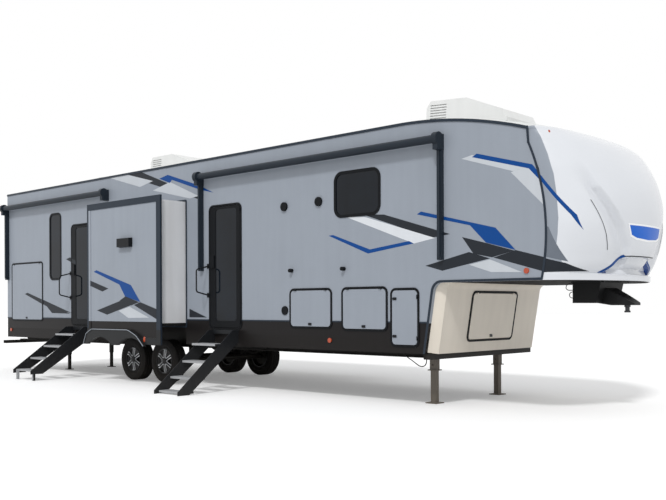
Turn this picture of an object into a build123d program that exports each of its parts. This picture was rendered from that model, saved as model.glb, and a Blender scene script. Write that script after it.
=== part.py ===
# Fifth wheel travel trailer with a moulded front cap, two entry doors and two slide-out rooms.
# Millimetres. X points forward, Y to the side without doors, Z up. The origin is on the king
# pin's axis at the face that rests on the tow vehicle's hitch plate, so the ground is below it.

import os
from math import asin, atan2, cos, degrees, radians, sin, tan
from build123d import *

os.makedirs("parts", exist_ok=True)

# Body shell
ground = -1230
half_width = 1219
rear_x = -12400
wall = 50
roof_z = 2256
roof_bow_x = -2400
roof_end = (-590, 1976)
roof_edge = 30
roof_crown = 90
floor_top = -300
floor_thick = 100
belt_z = -210
belt_high = 18
belt_proud = 6
skirt_low = -583
skirt_thick = 20
deck_z = 277
deck_thick = 60
joint_gap = 2
inside = half_width - wall

# Seam between the side walls and the front cap
seam_high = (-580, 1800)
seam_mid = (-366, 900)
seam_low = (-420, deck_z)

# Raked bulkhead below the raised front deck: its face, and the walls' edge behind it
bulkhead_foot_x = -1890
bulkhead_rake = 9.4
bulkhead_radius = 90
bulkhead_thick = 40
bulkhead_return = 110
bulkhead_bevel = 75
wall_knee_radius = 120

# Front cap
cap_back = -1100
cap_thick = 40
cap_corner_angle = 72

# Doors, hatches and their rings
hatch_gap = 8
hatch_thick = 40
ring_wide = 24
ring_proud = 10
hinge_radius = 7
hinge_pin = 4
hinge_play = 0.05
hinge_long = 50
hinge_split = 0.6
hinge_inset = 90
door_gap = 8
door_thick = 44
door_radius = 70
glass_thick = 6
glass_lip = 14

# Running gear
axle_front_x = -7340
axle_spacing = 870
tyre_radius = 350
tyre_wide = 225
tyre_outer = 1150
rim_radius = 208
hub_radius = 62
bore_radius = 30
bore_play = 0.05
rail_y = tyre_outer - tyre_wide - 100
rail_high = 254
rail_wide = 100
rail_web = 10
rail_rear_x = -12340
rail_front_x = -2060

arch_radius = 385
axle_z = ground + tyre_radius
wheel_xs = (axle_front_x, axle_front_x - axle_spacing)

# Slide-out rooms, drawn as they stand when out
slide_gap = 8
slide_wall = 40
slide_plate = 25
slide_trim = 104
slide_trim_proud = 8
slide_base = -290
slide_flange = 50
slide_lap = 99
slide_rest = 0.3
flange_strip = 8


def write(part, label):
    part.label = label
    export_step(part, f"parts/{label}.step")


# Outer faces of the two sides, with their normals outward and their Y upward
body_face = {
    -1: Plane(origin=(0, -half_width, 0), x_dir=(1, 0, 0), z_dir=(0, -1, 0)),
    1: Plane(origin=(0, half_width, 0), x_dir=(-1, 0, 0), z_dir=(0, 1, 0)),
}


def slab(plane, box, radius, grow, out, back):
    """Plate between two heights over a plane: box is x low, x high, y low, y high in it."""
    x0, x1, y0, y1 = box
    with BuildPart() as solid:
        with BuildSketch(plane.offset(back)):
            with Locations(((x0 + x1) / 2, (y0 + y1) / 2)):
                if radius + grow > 0:
                    RectangleRounded(x1 - x0 + 2 * grow, y1 - y0 + 2 * grow, radius + grow)
                else:
                    Rectangle(x1 - x0 + 2 * grow, y1 - y0 + 2 * grow)
        extrude(amount=out - back)
    return solid.part


def frame_ring(plane, box, radius, inner, outer, out, back):
    """Ring round an opening. inner and outer are offsets from the opening's edge."""
    with BuildPart() as solid:
        add(slab(plane, box, radius, outer, out, back))
        add(slab(plane, box, radius, inner, out + 1, back - 1), mode=Mode.SUBTRACT)
    return solid.part


def on_face(side, box):
    """The same box in the side's own plane, whose X runs backward on the far side."""
    x0, x1, z0, z1 = box
    return box if side < 0 else (-x1, -x0, z0, z1)


def plate(side, box, radius, grow, out, back):
    """Plate on one side of the body, out and back counted from the wall's outer face."""
    return slab(body_face[side], on_face(side, box), radius, grow, out, back)


# Entry door openings: x rear, x front, z low, z high. Both are hinged at the front edge.
doors = {
    "front": (-6050, -5350, -320, 1506),
    "rear": (-9980, -9280, -320, 1476),
}

# Hatches: side (-1 is the door side), opening, corner radius, hinged edge
hatches = {
    "kitchen": (-1, (-12194, -11040, -240, 850), 45, "top"),
    "storage_right": (-1, (-4305, -3550, -280, 222), 60, "top"),
    "service_right": (-1, (-3333, -2600, -300, 225), 60, "top"),
    "gas_right": (-1, (-2508, -2105, -485, 200), 60, "front"),
    "storage_left": (1, (-3700, -2700, -300, 225), 60, "top"),
    "gas_left": (1, (-2508, -2105, -485, 200), 60, "front"),
}

# Windows: side, opening, corner radius
windows = {
    "bedroom_right": (-1, (-3460, -2710, 1180, 1740), 110),
    "kitchen_right": (-1, (-10740, -10370, 530, 1730), 90),
    "bedroom_left": (1, (-3460, -2710, 1180, 1740), 110),
    "bunk_left": (1, (-11500, -10750, 900, 1500), 110),
}

# Slide-outs: side, box (x rear, x front, z low, z high), reach of the outer face from the wall
slides = {
    "right": (-1, (-8582, -6650, slide_base, 1640), 513),
    "left": (1, (-9400, -5000, slide_base, 1640), 861),
}

bow_run = roof_end[0] - roof_bow_x
bow_drop = roof_z - roof_end[1]
bow_radius = (bow_run**2 + bow_drop**2) / (2 * bow_drop)
bow_angle = asin(bow_run / bow_radius)


def bow_point(radius, share):
    """Point on the roof's front bow: share is 0 where it starts and 1 at the cap."""
    turn = bow_angle * share
    return (roof_bow_x + radius * sin(turn), roof_z - bow_radius + radius * cos(turn))


def raked(z, behind=0):
    """X at height z on the bulkhead's face, or that far behind it."""
    slope = tan(radians(bulkhead_rake))
    return bulkhead_foot_x + (z - skirt_low) * slope - behind / cos(radians(bulkhead_rake))


def wall_outline(low):
    """Side wall seen from the side, down to the height low, without its openings."""
    inner = bow_radius - roof_edge
    corner = (raked(deck_z, bulkhead_return), deck_z)
    foot = (raked(low, bulkhead_return), low)
    with BuildSketch(Plane.XZ) as outline:
        with BuildLine():
            Polyline(foot, (rear_x, low), (rear_x, roof_z - roof_edge), bow_point(inner, 0))
            ThreePointArc(bow_point(inner, 0), bow_point(inner, 0.5), bow_point(inner, 1))
            Line(bow_point(inner, 1), seam_high)
            ThreePointArc(seam_high, seam_mid, seam_low)
            if low < deck_z:
                FilletPolyline(seam_low, corner, foot, radius=wall_knee_radius)
        make_face()
    return outline.sketch


def side_openings(side, low):
    """Every opening cut through one side wall, as plates that pass through it."""
    cuts = []
    for at, box, radius, edge in hatches.values():
        if at == side:
            cuts.append(plate(side, box, radius, 0, 9, -wall - 9))
    for at, box, radius in windows.values():
        if at == side:
            cuts.append(plate(side, box, radius, 0, 9, -wall - 9))
    if side < 0:
        for box in doors.values():
            cuts.append(plate(side, box, door_radius, 0, 9, -wall - 9))
    for at, box, out in slides.values():
        if at == side:
            cuts.append(plate(side, box, 0, slide_gap, 9, -wall - 9))
    return cuts


def side_wall(side, outer, thick, low, high):
    """Side wall or skirt between two heights, with its openings cut."""
    with BuildPart() as solid:
        extrude(wall_outline(low).moved(Location((0, side * outer, 0))), amount=side * thick)
        split(bisect_by=Plane.XY.offset(high), keep=Keep.BOTTOM)
        for cut in side_openings(side, low):
            add(cut, mode=Mode.SUBTRACT)
    return solid.part


# Walls, skirts, floor and rear wall
wall_low = floor_top - floor_thick
for side, label in ((-1, "wall_right"), (1, "wall_left")):
    write(side_wall(side, half_width, wall, wall_low, roof_z), label)

with BuildPart() as skirts:
    for side in (-1, 1):
        add(side_wall(side, half_width, skirt_thick, skirt_low, wall_low))
    side, (x0, x1, z0, z1), out = slides["right"]
    add(plate(side, (x0 - slide_gap, x1 + slide_gap, skirt_low - 9, wall_low + 9), 0, 0, 9, -wall - 9),
        mode=Mode.SUBTRACT)
    with Locations(*[Location((x, half_width, axle_z), (90, 0, 0)) for x in wheel_xs]):
        Cylinder(arch_radius, 4 * wall, mode=Mode.SUBTRACT)
    with Locations((rear_x, 0, skirt_low)):
        Box(skirt_thick, 2 * (half_width - skirt_thick), wall_low - skirt_low,
            align=(Align.MIN, Align.CENTER, Align.MIN))
write(skirts.part, "skirts")

with BuildPart() as wall_rear:
    with BuildSketch(Plane.YZ.offset(rear_x)):
        with BuildLine():
            top = roof_z - roof_edge
            Polyline((-inside, top), (-inside, wall_low), (inside, wall_low), (inside, top), close=True)
        make_face()
    extrude(amount=wall)
write(wall_rear.part, "wall_rear")

with BuildPart() as main_floor:
    with BuildSketch(Plane.XZ.offset(inside)):
        with BuildLine():
            x0 = rear_x + wall
            behind = bulkhead_return + bulkhead_thick + joint_gap
            Polyline((x0, wall_low), (x0, floor_top), (raked(floor_top, behind), floor_top),
                     (raked(wall_low, behind), wall_low), close=True)
        make_face()
    extrude(amount=-2 * inside)
write(main_floor.part, "main_floor")

# Roof: a crowned sheet that runs level, then bows down to the cap
with BuildPart() as roof:
    with BuildLine() as roof_path:
        Line((rear_x, 0, roof_z), (roof_bow_x, 0, roof_z))
        ThreePointArc(*[Vector(x, 0, z) for x, z in (bow_point(bow_radius, s) for s in (0, 0.5, 1))])
    with BuildSketch(Plane((rear_x, 0, roof_z), x_dir=(0, 1, 0), z_dir=(1, 0, 0))):
        with BuildLine():
            ThreePointArc((-half_width, 0), (0, roof_crown), (half_width, 0))
            Polyline((half_width, 0), (half_width, -roof_edge), (-half_width, -roof_edge),
                     (-half_width, 0))
        make_face()
    sweep(path=roof_path.wires()[0])
write(roof.part, "roof")

# Front cap: rounded plan sections, z, x at the nose, half width, corner radius
cap_sections = (
    (277, 200, 0, 420),
    (560, 300, 0, 450),
    (840, 382, 0, 450),
    (1120, 400, 0, 450),
    (1450, 320, 0, 420),
    (1700, 130, 0, 330),
    (1860, -70, 0, 230),
    (1960, -270, 0, 150),
)
cap_crown = (
    (1960, -270, 0, 150),
    (2020, -390, 319, 150),
    (2066, -520, 799, 120),
)


def cap_outline(z, nose, tuck, corner, inset=0):
    """Plan section of the cap: straight sides, round corners and a gently bowed nose."""
    turn = radians(cap_corner_angle)
    wide, nose, corner = half_width - tuck - inset, nose - inset, max(corner - inset, 40)
    bow_y = wide - corner * (1 - cos(turn))
    bow = bow_y / cos(turn)
    side_end = nose - corner * sin(turn) - bow * (1 - sin(turn))
    bow_x = side_end + corner * sin(turn)
    mid_x = side_end + corner * sin(turn / 2)
    mid_y = wide - corner * (1 - cos(turn / 2))
    with BuildSketch(Plane.XY.offset(z)) as outline:
        with BuildLine():
            Polyline((side_end, -wide), (cap_back, -wide), (cap_back, wide), (side_end, wide))
            ThreePointArc((side_end, wide), (mid_x, mid_y), (bow_x, bow_y))
            ThreePointArc((bow_x, bow_y), (nose, 0), (bow_x, -bow_y))
            ThreePointArc((bow_x, -bow_y), (mid_x, -mid_y), (side_end, -wide))
        make_face()
    return outline.sketch


def cap_body(inset, drop):
    """Solid of the cap, or of its hollow when inset by the shell's thickness."""
    with BuildPart() as body:
        loft([cap_outline(*row, inset) for row in cap_sections])
        loft([cap_outline(*row, inset) for row in cap_crown], ruled=True)
    return body.part.moved(Location((0, 0, -drop)))


def behind_seam(shift):
    """Everything behind the seam, moved forward by shift."""
    with BuildPart() as body:
        with BuildSketch(Plane.XZ):
            with BuildLine():
                high, mid, low = [(x + shift, z) for x, z in (seam_high, seam_mid, seam_low)]
                tip = bow_point(bow_radius + 400, 1)
                end = bow_point(bow_radius - roof_edge, 1)
                ThreePointArc(low, mid, high)
                Polyline(high, (end[0] + shift, end[1]), (tip[0] + shift, tip[1]), (-3000, 3200),
                         (-3000, -400), (low[0], -400), low)
            make_face()
        extrude(amount=2 * half_width, both=True)
    return body.part


# Chin recesses, seen from the front: out from the middle and height of each corner
chin_corners = ((816, 338), (470, 532), (20, 535), (100, 342))
chin_deep = 24
with BuildPart() as chin:
    for side in (-1, 1):
        with BuildSketch(Plane.YZ):
            with BuildLine():
                Polyline(*[(side * out, z) for out, z in chin_corners], close=True)
            make_face()
    extrude(amount=half_width)
    add(cap_body(chin_deep, 0), mode=Mode.SUBTRACT)

with BuildPart() as front_cap:
    add(cap_body(0, 0))
    add(cap_body(cap_thick, cap_thick), mode=Mode.SUBTRACT)
    add(behind_seam(joint_gap), mode=Mode.SUBTRACT)
    add(chin.part, mode=Mode.SUBTRACT)
write(front_cap.part, "front_cap")

# Raised front deck, from the bulkhead's top to inside the cap
with BuildPart() as upper_deck:
    add(cap_outline(*cap_sections[0], wall + joint_gap))
    with BuildSketch(Plane.XY.offset(deck_z)):
        with Locations(((raked(deck_z) + bulkhead_radius + cap_back) / 2, 0)):
            Rectangle(cap_back - raked(deck_z) - bulkhead_radius, 2 * inside)
    extrude(amount=deck_thick)
write(upper_deck.part, "upper_deck")

# Bulkhead: a sheet with bevelled sides, swept up the rake and forward under the deck
with BuildPart() as front_bulkhead:
    with BuildLine() as bulkhead_path:
        FilletPolyline((raked(skirt_low), 0, skirt_low), (raked(deck_z), 0, deck_z),
                       (raked(deck_z) + bulkhead_radius, 0, deck_z), radius=bulkhead_radius)
    lean = radians(bulkhead_rake)
    across = Plane((raked(skirt_low), 0, skirt_low), x_dir=(0, 1, 0), z_dir=(sin(lean), 0, cos(lean)))
    with BuildSketch(across):
        with BuildLine():
            flat = inside - bulkhead_bevel
            outer = [(-inside, bulkhead_return), (-flat, 0), (flat, 0), (inside, bulkhead_return)]
            back = [(x * (1 - bulkhead_thick / inside), y + bulkhead_thick) for x, y in outer]
            Polyline(*outer, *reversed(back), close=True)
        make_face()
    sweep(path=bulkhead_path.wires()[0])
write(front_bulkhead.part, "front_bulkhead")

# Chassis: two I-beams, cross members and outriggers
rail_top = wall_low
rail_low = rail_top - rail_high
cross_member_xs = (-12290, -11330, -9700, -8900, -7775, -6600, -5200, -3800, -2420)
outrigger_xs = (-12290, -11330, -10300, -9700, -6300, -5200, -4480, -3450)
cross_wide = 60
cross_high = 120
front_beam = (110, 70)
with BuildPart() as frame_rails:
    with BuildSketch(Plane.YZ.offset(rail_rear_x)):
        with Locations((-rail_y, rail_top - rail_high / 2), (rail_y, rail_top - rail_high / 2)):
            Rectangle(rail_web, rail_high)
            with Locations((0, (rail_high - rail_web) / 2), (0, (rail_web - rail_high) / 2)):
                Rectangle(rail_wide, rail_web)
    extrude(amount=rail_front_x - rail_rear_x)
write(frame_rails.part, "frame_rails")

with BuildPart() as cross_members:
    with Locations(*[(x, 0, rail_top - rail_web) for x in cross_member_xs]):
        Box(cross_wide, 2 * rail_y - rail_web, cross_high, align=(Align.CENTER, Align.CENTER, Align.MAX))
    with Locations((rail_front_x, 0, skirt_low)):
        Box(front_beam[0], 2 * inside, front_beam[1], align=(Align.MIN, Align.CENTER, Align.MAX))
write(cross_members.part, "cross_members")

with BuildPart() as outriggers:
    for side in (-1, 1):
        for x in outrigger_xs:
            with BuildSketch(Plane.YZ.offset(x)):
                with BuildLine():
                    near, far = side * (rail_y + rail_web / 2), side * (half_width - skirt_thick)
                    top = rail_top - rail_web
                    Polyline((near, top), (far, top), (far, top - 60), (near, rail_low + 30), close=True)
                make_face()
            extrude(amount=rail_web)
write(outriggers.part, "outriggers")

# Rear bumper: a square tube on two brackets
bumper = (-12567, 100, 60, -656)
with BuildPart() as rear_bumper:
    x, deep, high, top = bumper
    with Locations((x, 0, top)):
        Box(deep, 2 * half_width + 16, high, align=(Align.MIN, Align.CENTER, Align.MAX))
        Box(deep, 2 * half_width + 30, high - 10, align=(Align.MIN, Align.CENTER, Align.MAX),
            mode=Mode.SUBTRACT)
    with Locations((x, 0, top)):
        Box(5, 2 * half_width + 16, high, align=(Align.MIN, Align.CENTER, Align.MAX))
        with Locations((deep - 5, 0, 0), (0, 0, 0)):
            Box(5, 2 * half_width + 16, high, align=(Align.MIN, Align.CENTER, Align.MAX))
    with Locations((x, 0, top - high)):
        Box(deep, 2 * half_width + 16, 5, align=(Align.MIN, Align.CENTER, Align.MIN))
    with Locations((x, -rail_y, top), (x, rail_y, top)):
        Box(rail_rear_x - x, rail_wide, 20, align=(Align.MIN, Align.CENTER, Align.MIN))
write(rear_bumper.part, "rear_bumper")

# Wheels. Each is built about its own centre with Y as its axis, its face toward minus Y.
rim_wide = 178
rim_sheet = 16
spoke_count = 6
spoke_ring = 172
drum_radius = 150
drum_deep = 70
disc_back = 44
backing_gap = 5
wheel_y = tyre_outer - tyre_wide / 2


def spun(points, radii):
    """Solid of revolution about Y from a closed outline of (y, radius) points."""
    with BuildPart() as solid:
        with BuildSketch(Plane.YX):
            with BuildLine():
                FilletPolyline(*points, radius=radii, close=True)
            make_face()
        revolve(axis=Axis.Y)
    return solid.part


with BuildPart() as rim:
    half = rim_wide / 2
    add(spun([(-half, rim_radius), (-half, rim_radius - rim_sheet), (half, rim_radius - rim_sheet),
              (half, rim_radius)], 0))
    add(spun([(-half + 16, 0), (-half + 16, hub_radius), (-half + 30, spoke_ring), (-half + 12, rim_radius - 8),
              (-half + 40, rim_radius - 8), (-half + 54, spoke_ring), (-half + disc_back, hub_radius),
              (-half + disc_back, 0)], 0))
    with BuildSketch(Plane.XZ.offset(half + 9)):
        with PolarLocations(0, spoke_count):
            with BuildLine():
                FilletPolyline((hub_radius + 16, -16), (spoke_ring + 4, -60), (spoke_ring + 4, 60),
                               (hub_radius + 16, 16), radius=9, close=True)
            make_face()
    extrude(amount=-rim_wide, mode=Mode.SUBTRACT)
    with Locations(Location((0, disc_back - half, 0), (90, 0, 0))):
        Cylinder(drum_radius, drum_deep, align=(Align.CENTER, Align.CENTER, Align.MAX))
    with Locations(Location((0, -half - 6, 0), (90, 0, 0))):
        Cylinder(hub_radius - 14, half, align=(Align.CENTER, Align.CENTER, Align.MAX))
    with Locations(Location((0, half + 60, 0), (90, 0, 0))):
        Cylinder(bore_radius + bore_play, rim_wide, align=(Align.CENTER, Align.CENTER, Align.MIN),
                 mode=Mode.SUBTRACT)

with BuildPart() as tyre:
    half, sheet = tyre_wide / 2, 14
    add(spun([(-half + 34, rim_radius), (-half, rim_radius + 62), (-half + 22, tyre_radius),
              (half - 22, tyre_radius), (half, rim_radius + 62), (half - 34, rim_radius)],
             (4, 40, 26, 26, 40, 4)))

for end, x in zip(("front", "rear"), wheel_xs):
    for side, hand in ((-1, "right"), (1, "left")):
        turn = 0 if side < 0 else 180
        at = Location((x, side * wheel_y, ground + tyre_radius), (0, 0, turn))
        write(rim.part.moved(at), f"rim_{end}_{hand}")
        write(tyre.part.moved(at), f"tyre_{end}_{hand}")

# Axles: a tube, a spindle and a brake backing plate at each end
axle_tube = 38
backing_radius = 165
backing_thick = 8
with BuildPart() as axles:
    back = wheel_y + rim_wide / 2 - disc_back - drum_deep - backing_gap
    for x in wheel_xs:
        with Locations(Location((x, 0, axle_z), (90, 0, 0))):
            Cylinder(axle_tube, 2 * (back - backing_thick))
            Cylinder(bore_radius, 2 * (wheel_y + 20))
        for side in (-1, 1):
            with Locations(Location((x, side * (back - backing_thick / 2), axle_z), (90, 0, 0))):
                Cylinder(backing_radius, backing_thick)
write(axles.part, "axles")

# Leaf springs over the axles, on hangers and a rocker between the axles
spring_half = 325
spring_rise = 70
spring_thick = 38
spring_wide = 45
hanger_wide = 60
spring_z = axle_z + axle_tube
with BuildPart() as leaf_springs:
    eye_z = spring_z + spring_thick + spring_rise
    middle = (wheel_xs[0] + wheel_xs[1]) / 2
    for side in (-1, 1):
        near = Plane.XZ.offset(-side * rail_y + spring_wide / 2 * -1)
        with BuildSketch(near):
            for x in wheel_xs:
                with BuildLine():
                    low = ThreePointArc((x - spring_half, eye_z - spring_thick / 2), (x, spring_z),
                                        (x + spring_half, eye_z - spring_thick / 2))
                    top = ThreePointArc((x - spring_half, eye_z - 4), (x, spring_z + spring_thick),
                                        (x + spring_half, eye_z - 4))
                    Line(low @ 0, top @ 0)
                    Line(low @ 1, top @ 1)
                make_face()
        extrude(amount=spring_wide)
        hanger_xs = (wheel_xs[0] + spring_half, middle, wheel_xs[1] - spring_half)
        with Locations(*[(x, side * rail_y, rail_low) for x in hanger_xs]):
            Box(hanger_wide, spring_wide + 20, rail_low - eye_z + 20,
                align=(Align.CENTER, Align.CENTER, Align.MAX))
        with Locations((middle, side * rail_y, eye_z)):
            Box(wheel_xs[0] - wheel_xs[1] - 2 * spring_half + 40, spring_wide, 36)
write(leaf_springs.part, "leaf_springs")

# Landing legs at the front and stabiliser jacks at the rear
leg_x = -2215
leg_tube = 89
leg_inner = 74
leg_split = -810
leg_y = rail_y - rail_wide / 2 - leg_tube / 2
foot_size = 170
leg_flange = 130
leg_pin = 9
foot_thick = 12
with BuildPart() as landing_legs:
    for side in (-1, 1):
        with Locations((leg_x, side * leg_y, rail_top - 60)):
            Box(leg_tube, leg_tube, rail_top - 60 - leg_split, align=(Align.CENTER, Align.CENTER, Align.MAX))
        with Locations((leg_x, side * leg_y, leg_split)):
            Box(leg_inner, leg_inner, leg_split - ground, align=(Align.CENTER, Align.CENTER, Align.MAX))
            Box(leg_flange, leg_flange, foot_thick)
        with Locations(Location((leg_x, side * leg_y, leg_split + 60), (90, 0, 0))):
            Cylinder(leg_pin, leg_tube + 50)
        with Locations((leg_x, side * leg_y, ground)):
            Box(foot_size, foot_size, foot_thick, align=(Align.CENTER, Align.CENTER, Align.MIN))
write(landing_legs.part, "landing_legs")

jack_x = -11330
jack_y = 480
jack_tube = 64
jack_inner = 50
jack_split = -930
with BuildPart() as stabilizer_jacks:
    top = rail_top - rail_web - cross_high
    for side in (-1, 1):
        with Locations((jack_x, side * jack_y, top)):
            Box(jack_tube, jack_tube, top - jack_split, align=(Align.CENTER, Align.CENTER, Align.MAX))
        with Locations((jack_x, side * jack_y, jack_split)):
            Box(jack_inner, jack_inner, jack_split - ground, align=(Align.CENTER, Align.CENTER, Align.MAX))
        with Locations((jack_x, side * jack_y, ground)):
            Box(150, 110, foot_thick, align=(Align.CENTER, Align.CENTER, Align.MIN))
write(stabilizer_jacks.part, "stabilizer_jacks")

# Pin box: a mounting box under the deck and an arm that carries the king pin at its tip
pin_box_half = 300
pin_arm_half = 150
plate_thick = 12
pin_box_x = (-535, -240)
pin_box_low = 27
pin_tip_x = 120
pin_tip_half = 105
pin_length = 84
pin_radius = 35.7
pin_neck_radius = 25.4
pin_stub = 14
pin_play = 0.3
# Pin box: a welded box under the deck with an arm that narrows to the king pin
with BuildPart() as arm:
    with BuildSketch(Plane.XZ.offset(-pin_arm_half)):
        with BuildLine():
            Polyline((pin_box_x[1] - 60, pin_box_low), (-130, 0), (pin_tip_x, 0), (pin_tip_x, 22), (60, 59),
                     (pin_box_x[1] + 20, 215), (pin_box_x[1] - 60, 215), close=True)
        make_face()
    extrude(amount=2 * pin_arm_half)
    with BuildSketch():
        with BuildLine():
            Polyline((pin_box_x[1] - 99, pin_arm_half), (-60, pin_arm_half), (pin_tip_x, pin_tip_half),
                     (pin_tip_x, -pin_tip_half), (-60, -pin_arm_half), (pin_box_x[1] - 99, -pin_arm_half), close=True)
        make_face()
    extrude(amount=deck_z, mode=Mode.INTERSECT)
    fillet(arm.faces().sort_by(Axis.X)[-1].edges().filter_by(Axis.Z), 40)

with BuildPart() as pin_box:
    x0, x1 = pin_box_x
    for half, inset in ((pin_box_half, 0), (pin_box_half - plate_thick, plate_thick)):
        with BuildSketch(Plane.XZ.offset(-half)):
            with BuildLine():
                floor_z = pin_box_low if inset == 0 else pin_box_low - plate_thick
                Polyline((x0 + inset, deck_z - inset), (x0 + inset, floor_z), (x1 - inset, floor_z),
                         (x1 + 60 - inset, deck_z - inset), close=True)
            make_face()
        extrude(amount=2 * half, mode=Mode.SUBTRACT if inset else Mode.ADD)
    with Locations((x0, 0, deck_z)):
        Box(x1 - x0 + 110, 2 * pin_box_half + 80, plate_thick, align=(Align.MIN, Align.CENTER, Align.MAX))
    add(arm.part)
    Cylinder(pin_radius + pin_play, pin_stub, align=(Align.CENTER, Align.CENTER, Align.MIN), mode=Mode.SUBTRACT)
write(pin_box.part, "pin_box")

with BuildPart() as king_pin:
    with BuildSketch(Plane.XZ):
        with BuildLine():
            Polyline((0, pin_stub), (pin_radius, pin_stub), (pin_radius, -18), (pin_neck_radius, -24),
                     (pin_neck_radius, -62), (pin_radius, -66), (pin_radius, -pin_length + 4),
                     (pin_radius - 4, -pin_length), (0, -pin_length), close=True)
        make_face()
    revolve(axis=Axis.Z)
write(king_pin.part, "king_pin")


def hinge(at, along, outward, long):
    """Fixed and moving half of a butt hinge: at is the pin's middle, local +Y leads off the panel."""
    frame = Plane(origin=at, x_dir=along, z_dir=outward)
    face = -hinge_radius - 1
    halves = []
    for sign in (1, -1):
        with BuildPart() as half:
            with Locations(Location((0 if sign > 0 else -hinge_split, 0, 0), (0, sign * 90, 0))):
                Cylinder(hinge_radius, long / 2, align=(Align.CENTER, Align.CENTER, Align.MIN))
            with Locations((0 if sign > 0 else -long / 2 - hinge_split, 0, face)):
                Box(long / 2, 24, 4, align=(Align.MIN, Align.MIN if sign > 0 else Align.MAX, Align.MIN))
            with Locations((0 if sign > 0 else -hinge_split, 0, 0)):
                spot = Location((0, 0, 0), (0, -90, 0))
                with Locations(spot):
                    if sign > 0:
                        Cylinder(hinge_pin, long / 2, align=(Align.CENTER, Align.CENTER, Align.MIN))
                    else:
                        Cylinder(hinge_pin + hinge_play, long, mode=Mode.SUBTRACT)
        halves.append(half.part.moved(frame.location))
    return halves


def hung(plane, box, radius, gap, thick, edge, count):
    """Panel in an opening, hinged at its top or front edge: the panel and its fixed halves.

    The panel's face is flush with the ring's. In the plane the front edge is at high or low X.
    """
    x0, x1, y0, y1 = box
    axis_z = ring_proud + hinge_radius + 1
    steps = [i / (count - 1) for i in range(count)]
    if edge == "top":
        spots = [(x0 + hinge_inset + s * (x1 - x0 - 2 * hinge_inset), y1 - gap / 2) for s in steps]
        along = plane.x_dir
    else:
        at, sign = (x1 - gap / 2, -1) if edge == "right" else (x0 + gap / 2, 1)
        spots = [(at, y0 + hinge_inset + s * (y1 - y0 - 2 * hinge_inset)) for s in steps]
        along = plane.y_dir * sign
    halves = [hinge(plane.from_local_coords((*spot, axis_z)), along, plane.z_dir, hinge_long)
              for spot in spots]
    with BuildPart() as leaf:
        add(slab(plane, box, radius, -gap, ring_proud, ring_proud - thick))
        for fixed, moving in halves:
            add(moving)
    return leaf.part, [fixed for fixed, moving in halves]


def front_edge(side):
    return "right" if side < 0 else "left"


# Hatch leaves with their latches. Fixed rings gather the hinges' fixed halves.
latch_size = (64, 34, 9)
rings = []


def latch(plane, spot):
    with BuildPart() as body:
        with BuildSketch(plane.offset(ring_proud)):
            with Locations(spot):
                RectangleRounded(latch_size[0], latch_size[1], 10)
        extrude(amount=latch_size[2])
    return body.part


def hatch_leaf(plane, box, radius, edge, label):
    x0, x1, y0, y1 = box
    leaf, fixed = hung(plane, box, radius, hatch_gap, hatch_thick, edge, 2)
    middle = (x0 + x1) / 2
    free = {"right": x0 + 50, "left": x1 - 50}.get(edge)
    spots = [(middle, y0 + 40)] if edge == "top" else [(free, y0 + 110), (free, y1 - 110)]
    with BuildPart() as hatch:
        add(leaf)
        for spot in spots:
            add(latch(plane, spot))
    write(hatch.part, label)
    rings.append(frame_ring(plane, box, radius, 0, ring_wide, ring_proud, 0))
    rings.extend(fixed)


for name, (side, box, radius, edge) in hatches.items():
    edge = edge if edge == "top" else front_edge(side)
    hatch_leaf(body_face[side], on_face(side, box), radius, edge, f"hatch_{name}")

# Hatch in the raked bulkhead, in the plane of its face
lean = radians(bulkhead_rake)
rake_plane = Plane(origin=(bulkhead_foot_x, 0, skirt_low), x_dir=(0, 1, 0), z_dir=(cos(lean), 0, -sin(lean)))
front_hatch = (-520, 500, 155, 758)
with BuildPart() as cut_bulkhead:
    add(front_bulkhead.part)
    add(slab(rake_plane, front_hatch, 50, 0, 9, -bulkhead_thick - 9), mode=Mode.SUBTRACT)
write(cut_bulkhead.part, "front_bulkhead")
hatch_leaf(rake_plane, front_hatch, 50, "top", "hatch_front")

# Entry doors: a framed leaf with a tall pane, a lock at the rear edge
pane_inset = (140, 90, 110, 46)
pane_radius = 50
for name, box in doors.items():
    x0, x1, z0, z1 = box
    leaf, fixed = hung(body_face[-1], box, door_radius, door_gap, door_thick, "right", 3)
    pane = (x0 + pane_inset[0], x1 - pane_inset[1], z0 + pane_inset[2], z1 - pane_inset[3])
    with BuildPart() as door:
        add(leaf)
        add(plate(-1, pane, pane_radius, 0, ring_proud + 1, ring_proud - door_thick - 1),
            mode=Mode.SUBTRACT)
        with BuildSketch(body_face[-1].offset(ring_proud)):
            with Locations((x0 + 68, z0 + 1000)):
                RectangleRounded(90, 190, 12)
        extrude(amount=16)
    write(door.part, f"entry_door_{name}")
    write(plate(-1, pane, pane_radius, 0, ring_proud - 6, ring_proud - 6 - glass_thick), f"door_glass_{name}")
    rings.append(frame_ring(body_face[-1], box, door_radius, 0, ring_wide, ring_proud, 0))
    rings.extend(fixed)

with BuildPart() as opening_rings:
    for piece in rings:
        add(piece)
write(opening_rings.part, "opening_rings")

# Windows: a ring whose lip covers the edge, and a pane behind the lip
with BuildPart() as window_frames:
    for side, box, radius in windows.values():
        add(frame_ring(body_face[side], on_face(side, box), radius, -glass_lip, ring_wide, ring_proud, 0))
write(window_frames.part, "window_frames")
with BuildPart() as window_glass:
    for side, box, radius in windows.values():
        add(plate(side, box, radius, 0, 0, -glass_thick))
write(window_glass.part, "window_glass")

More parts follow.
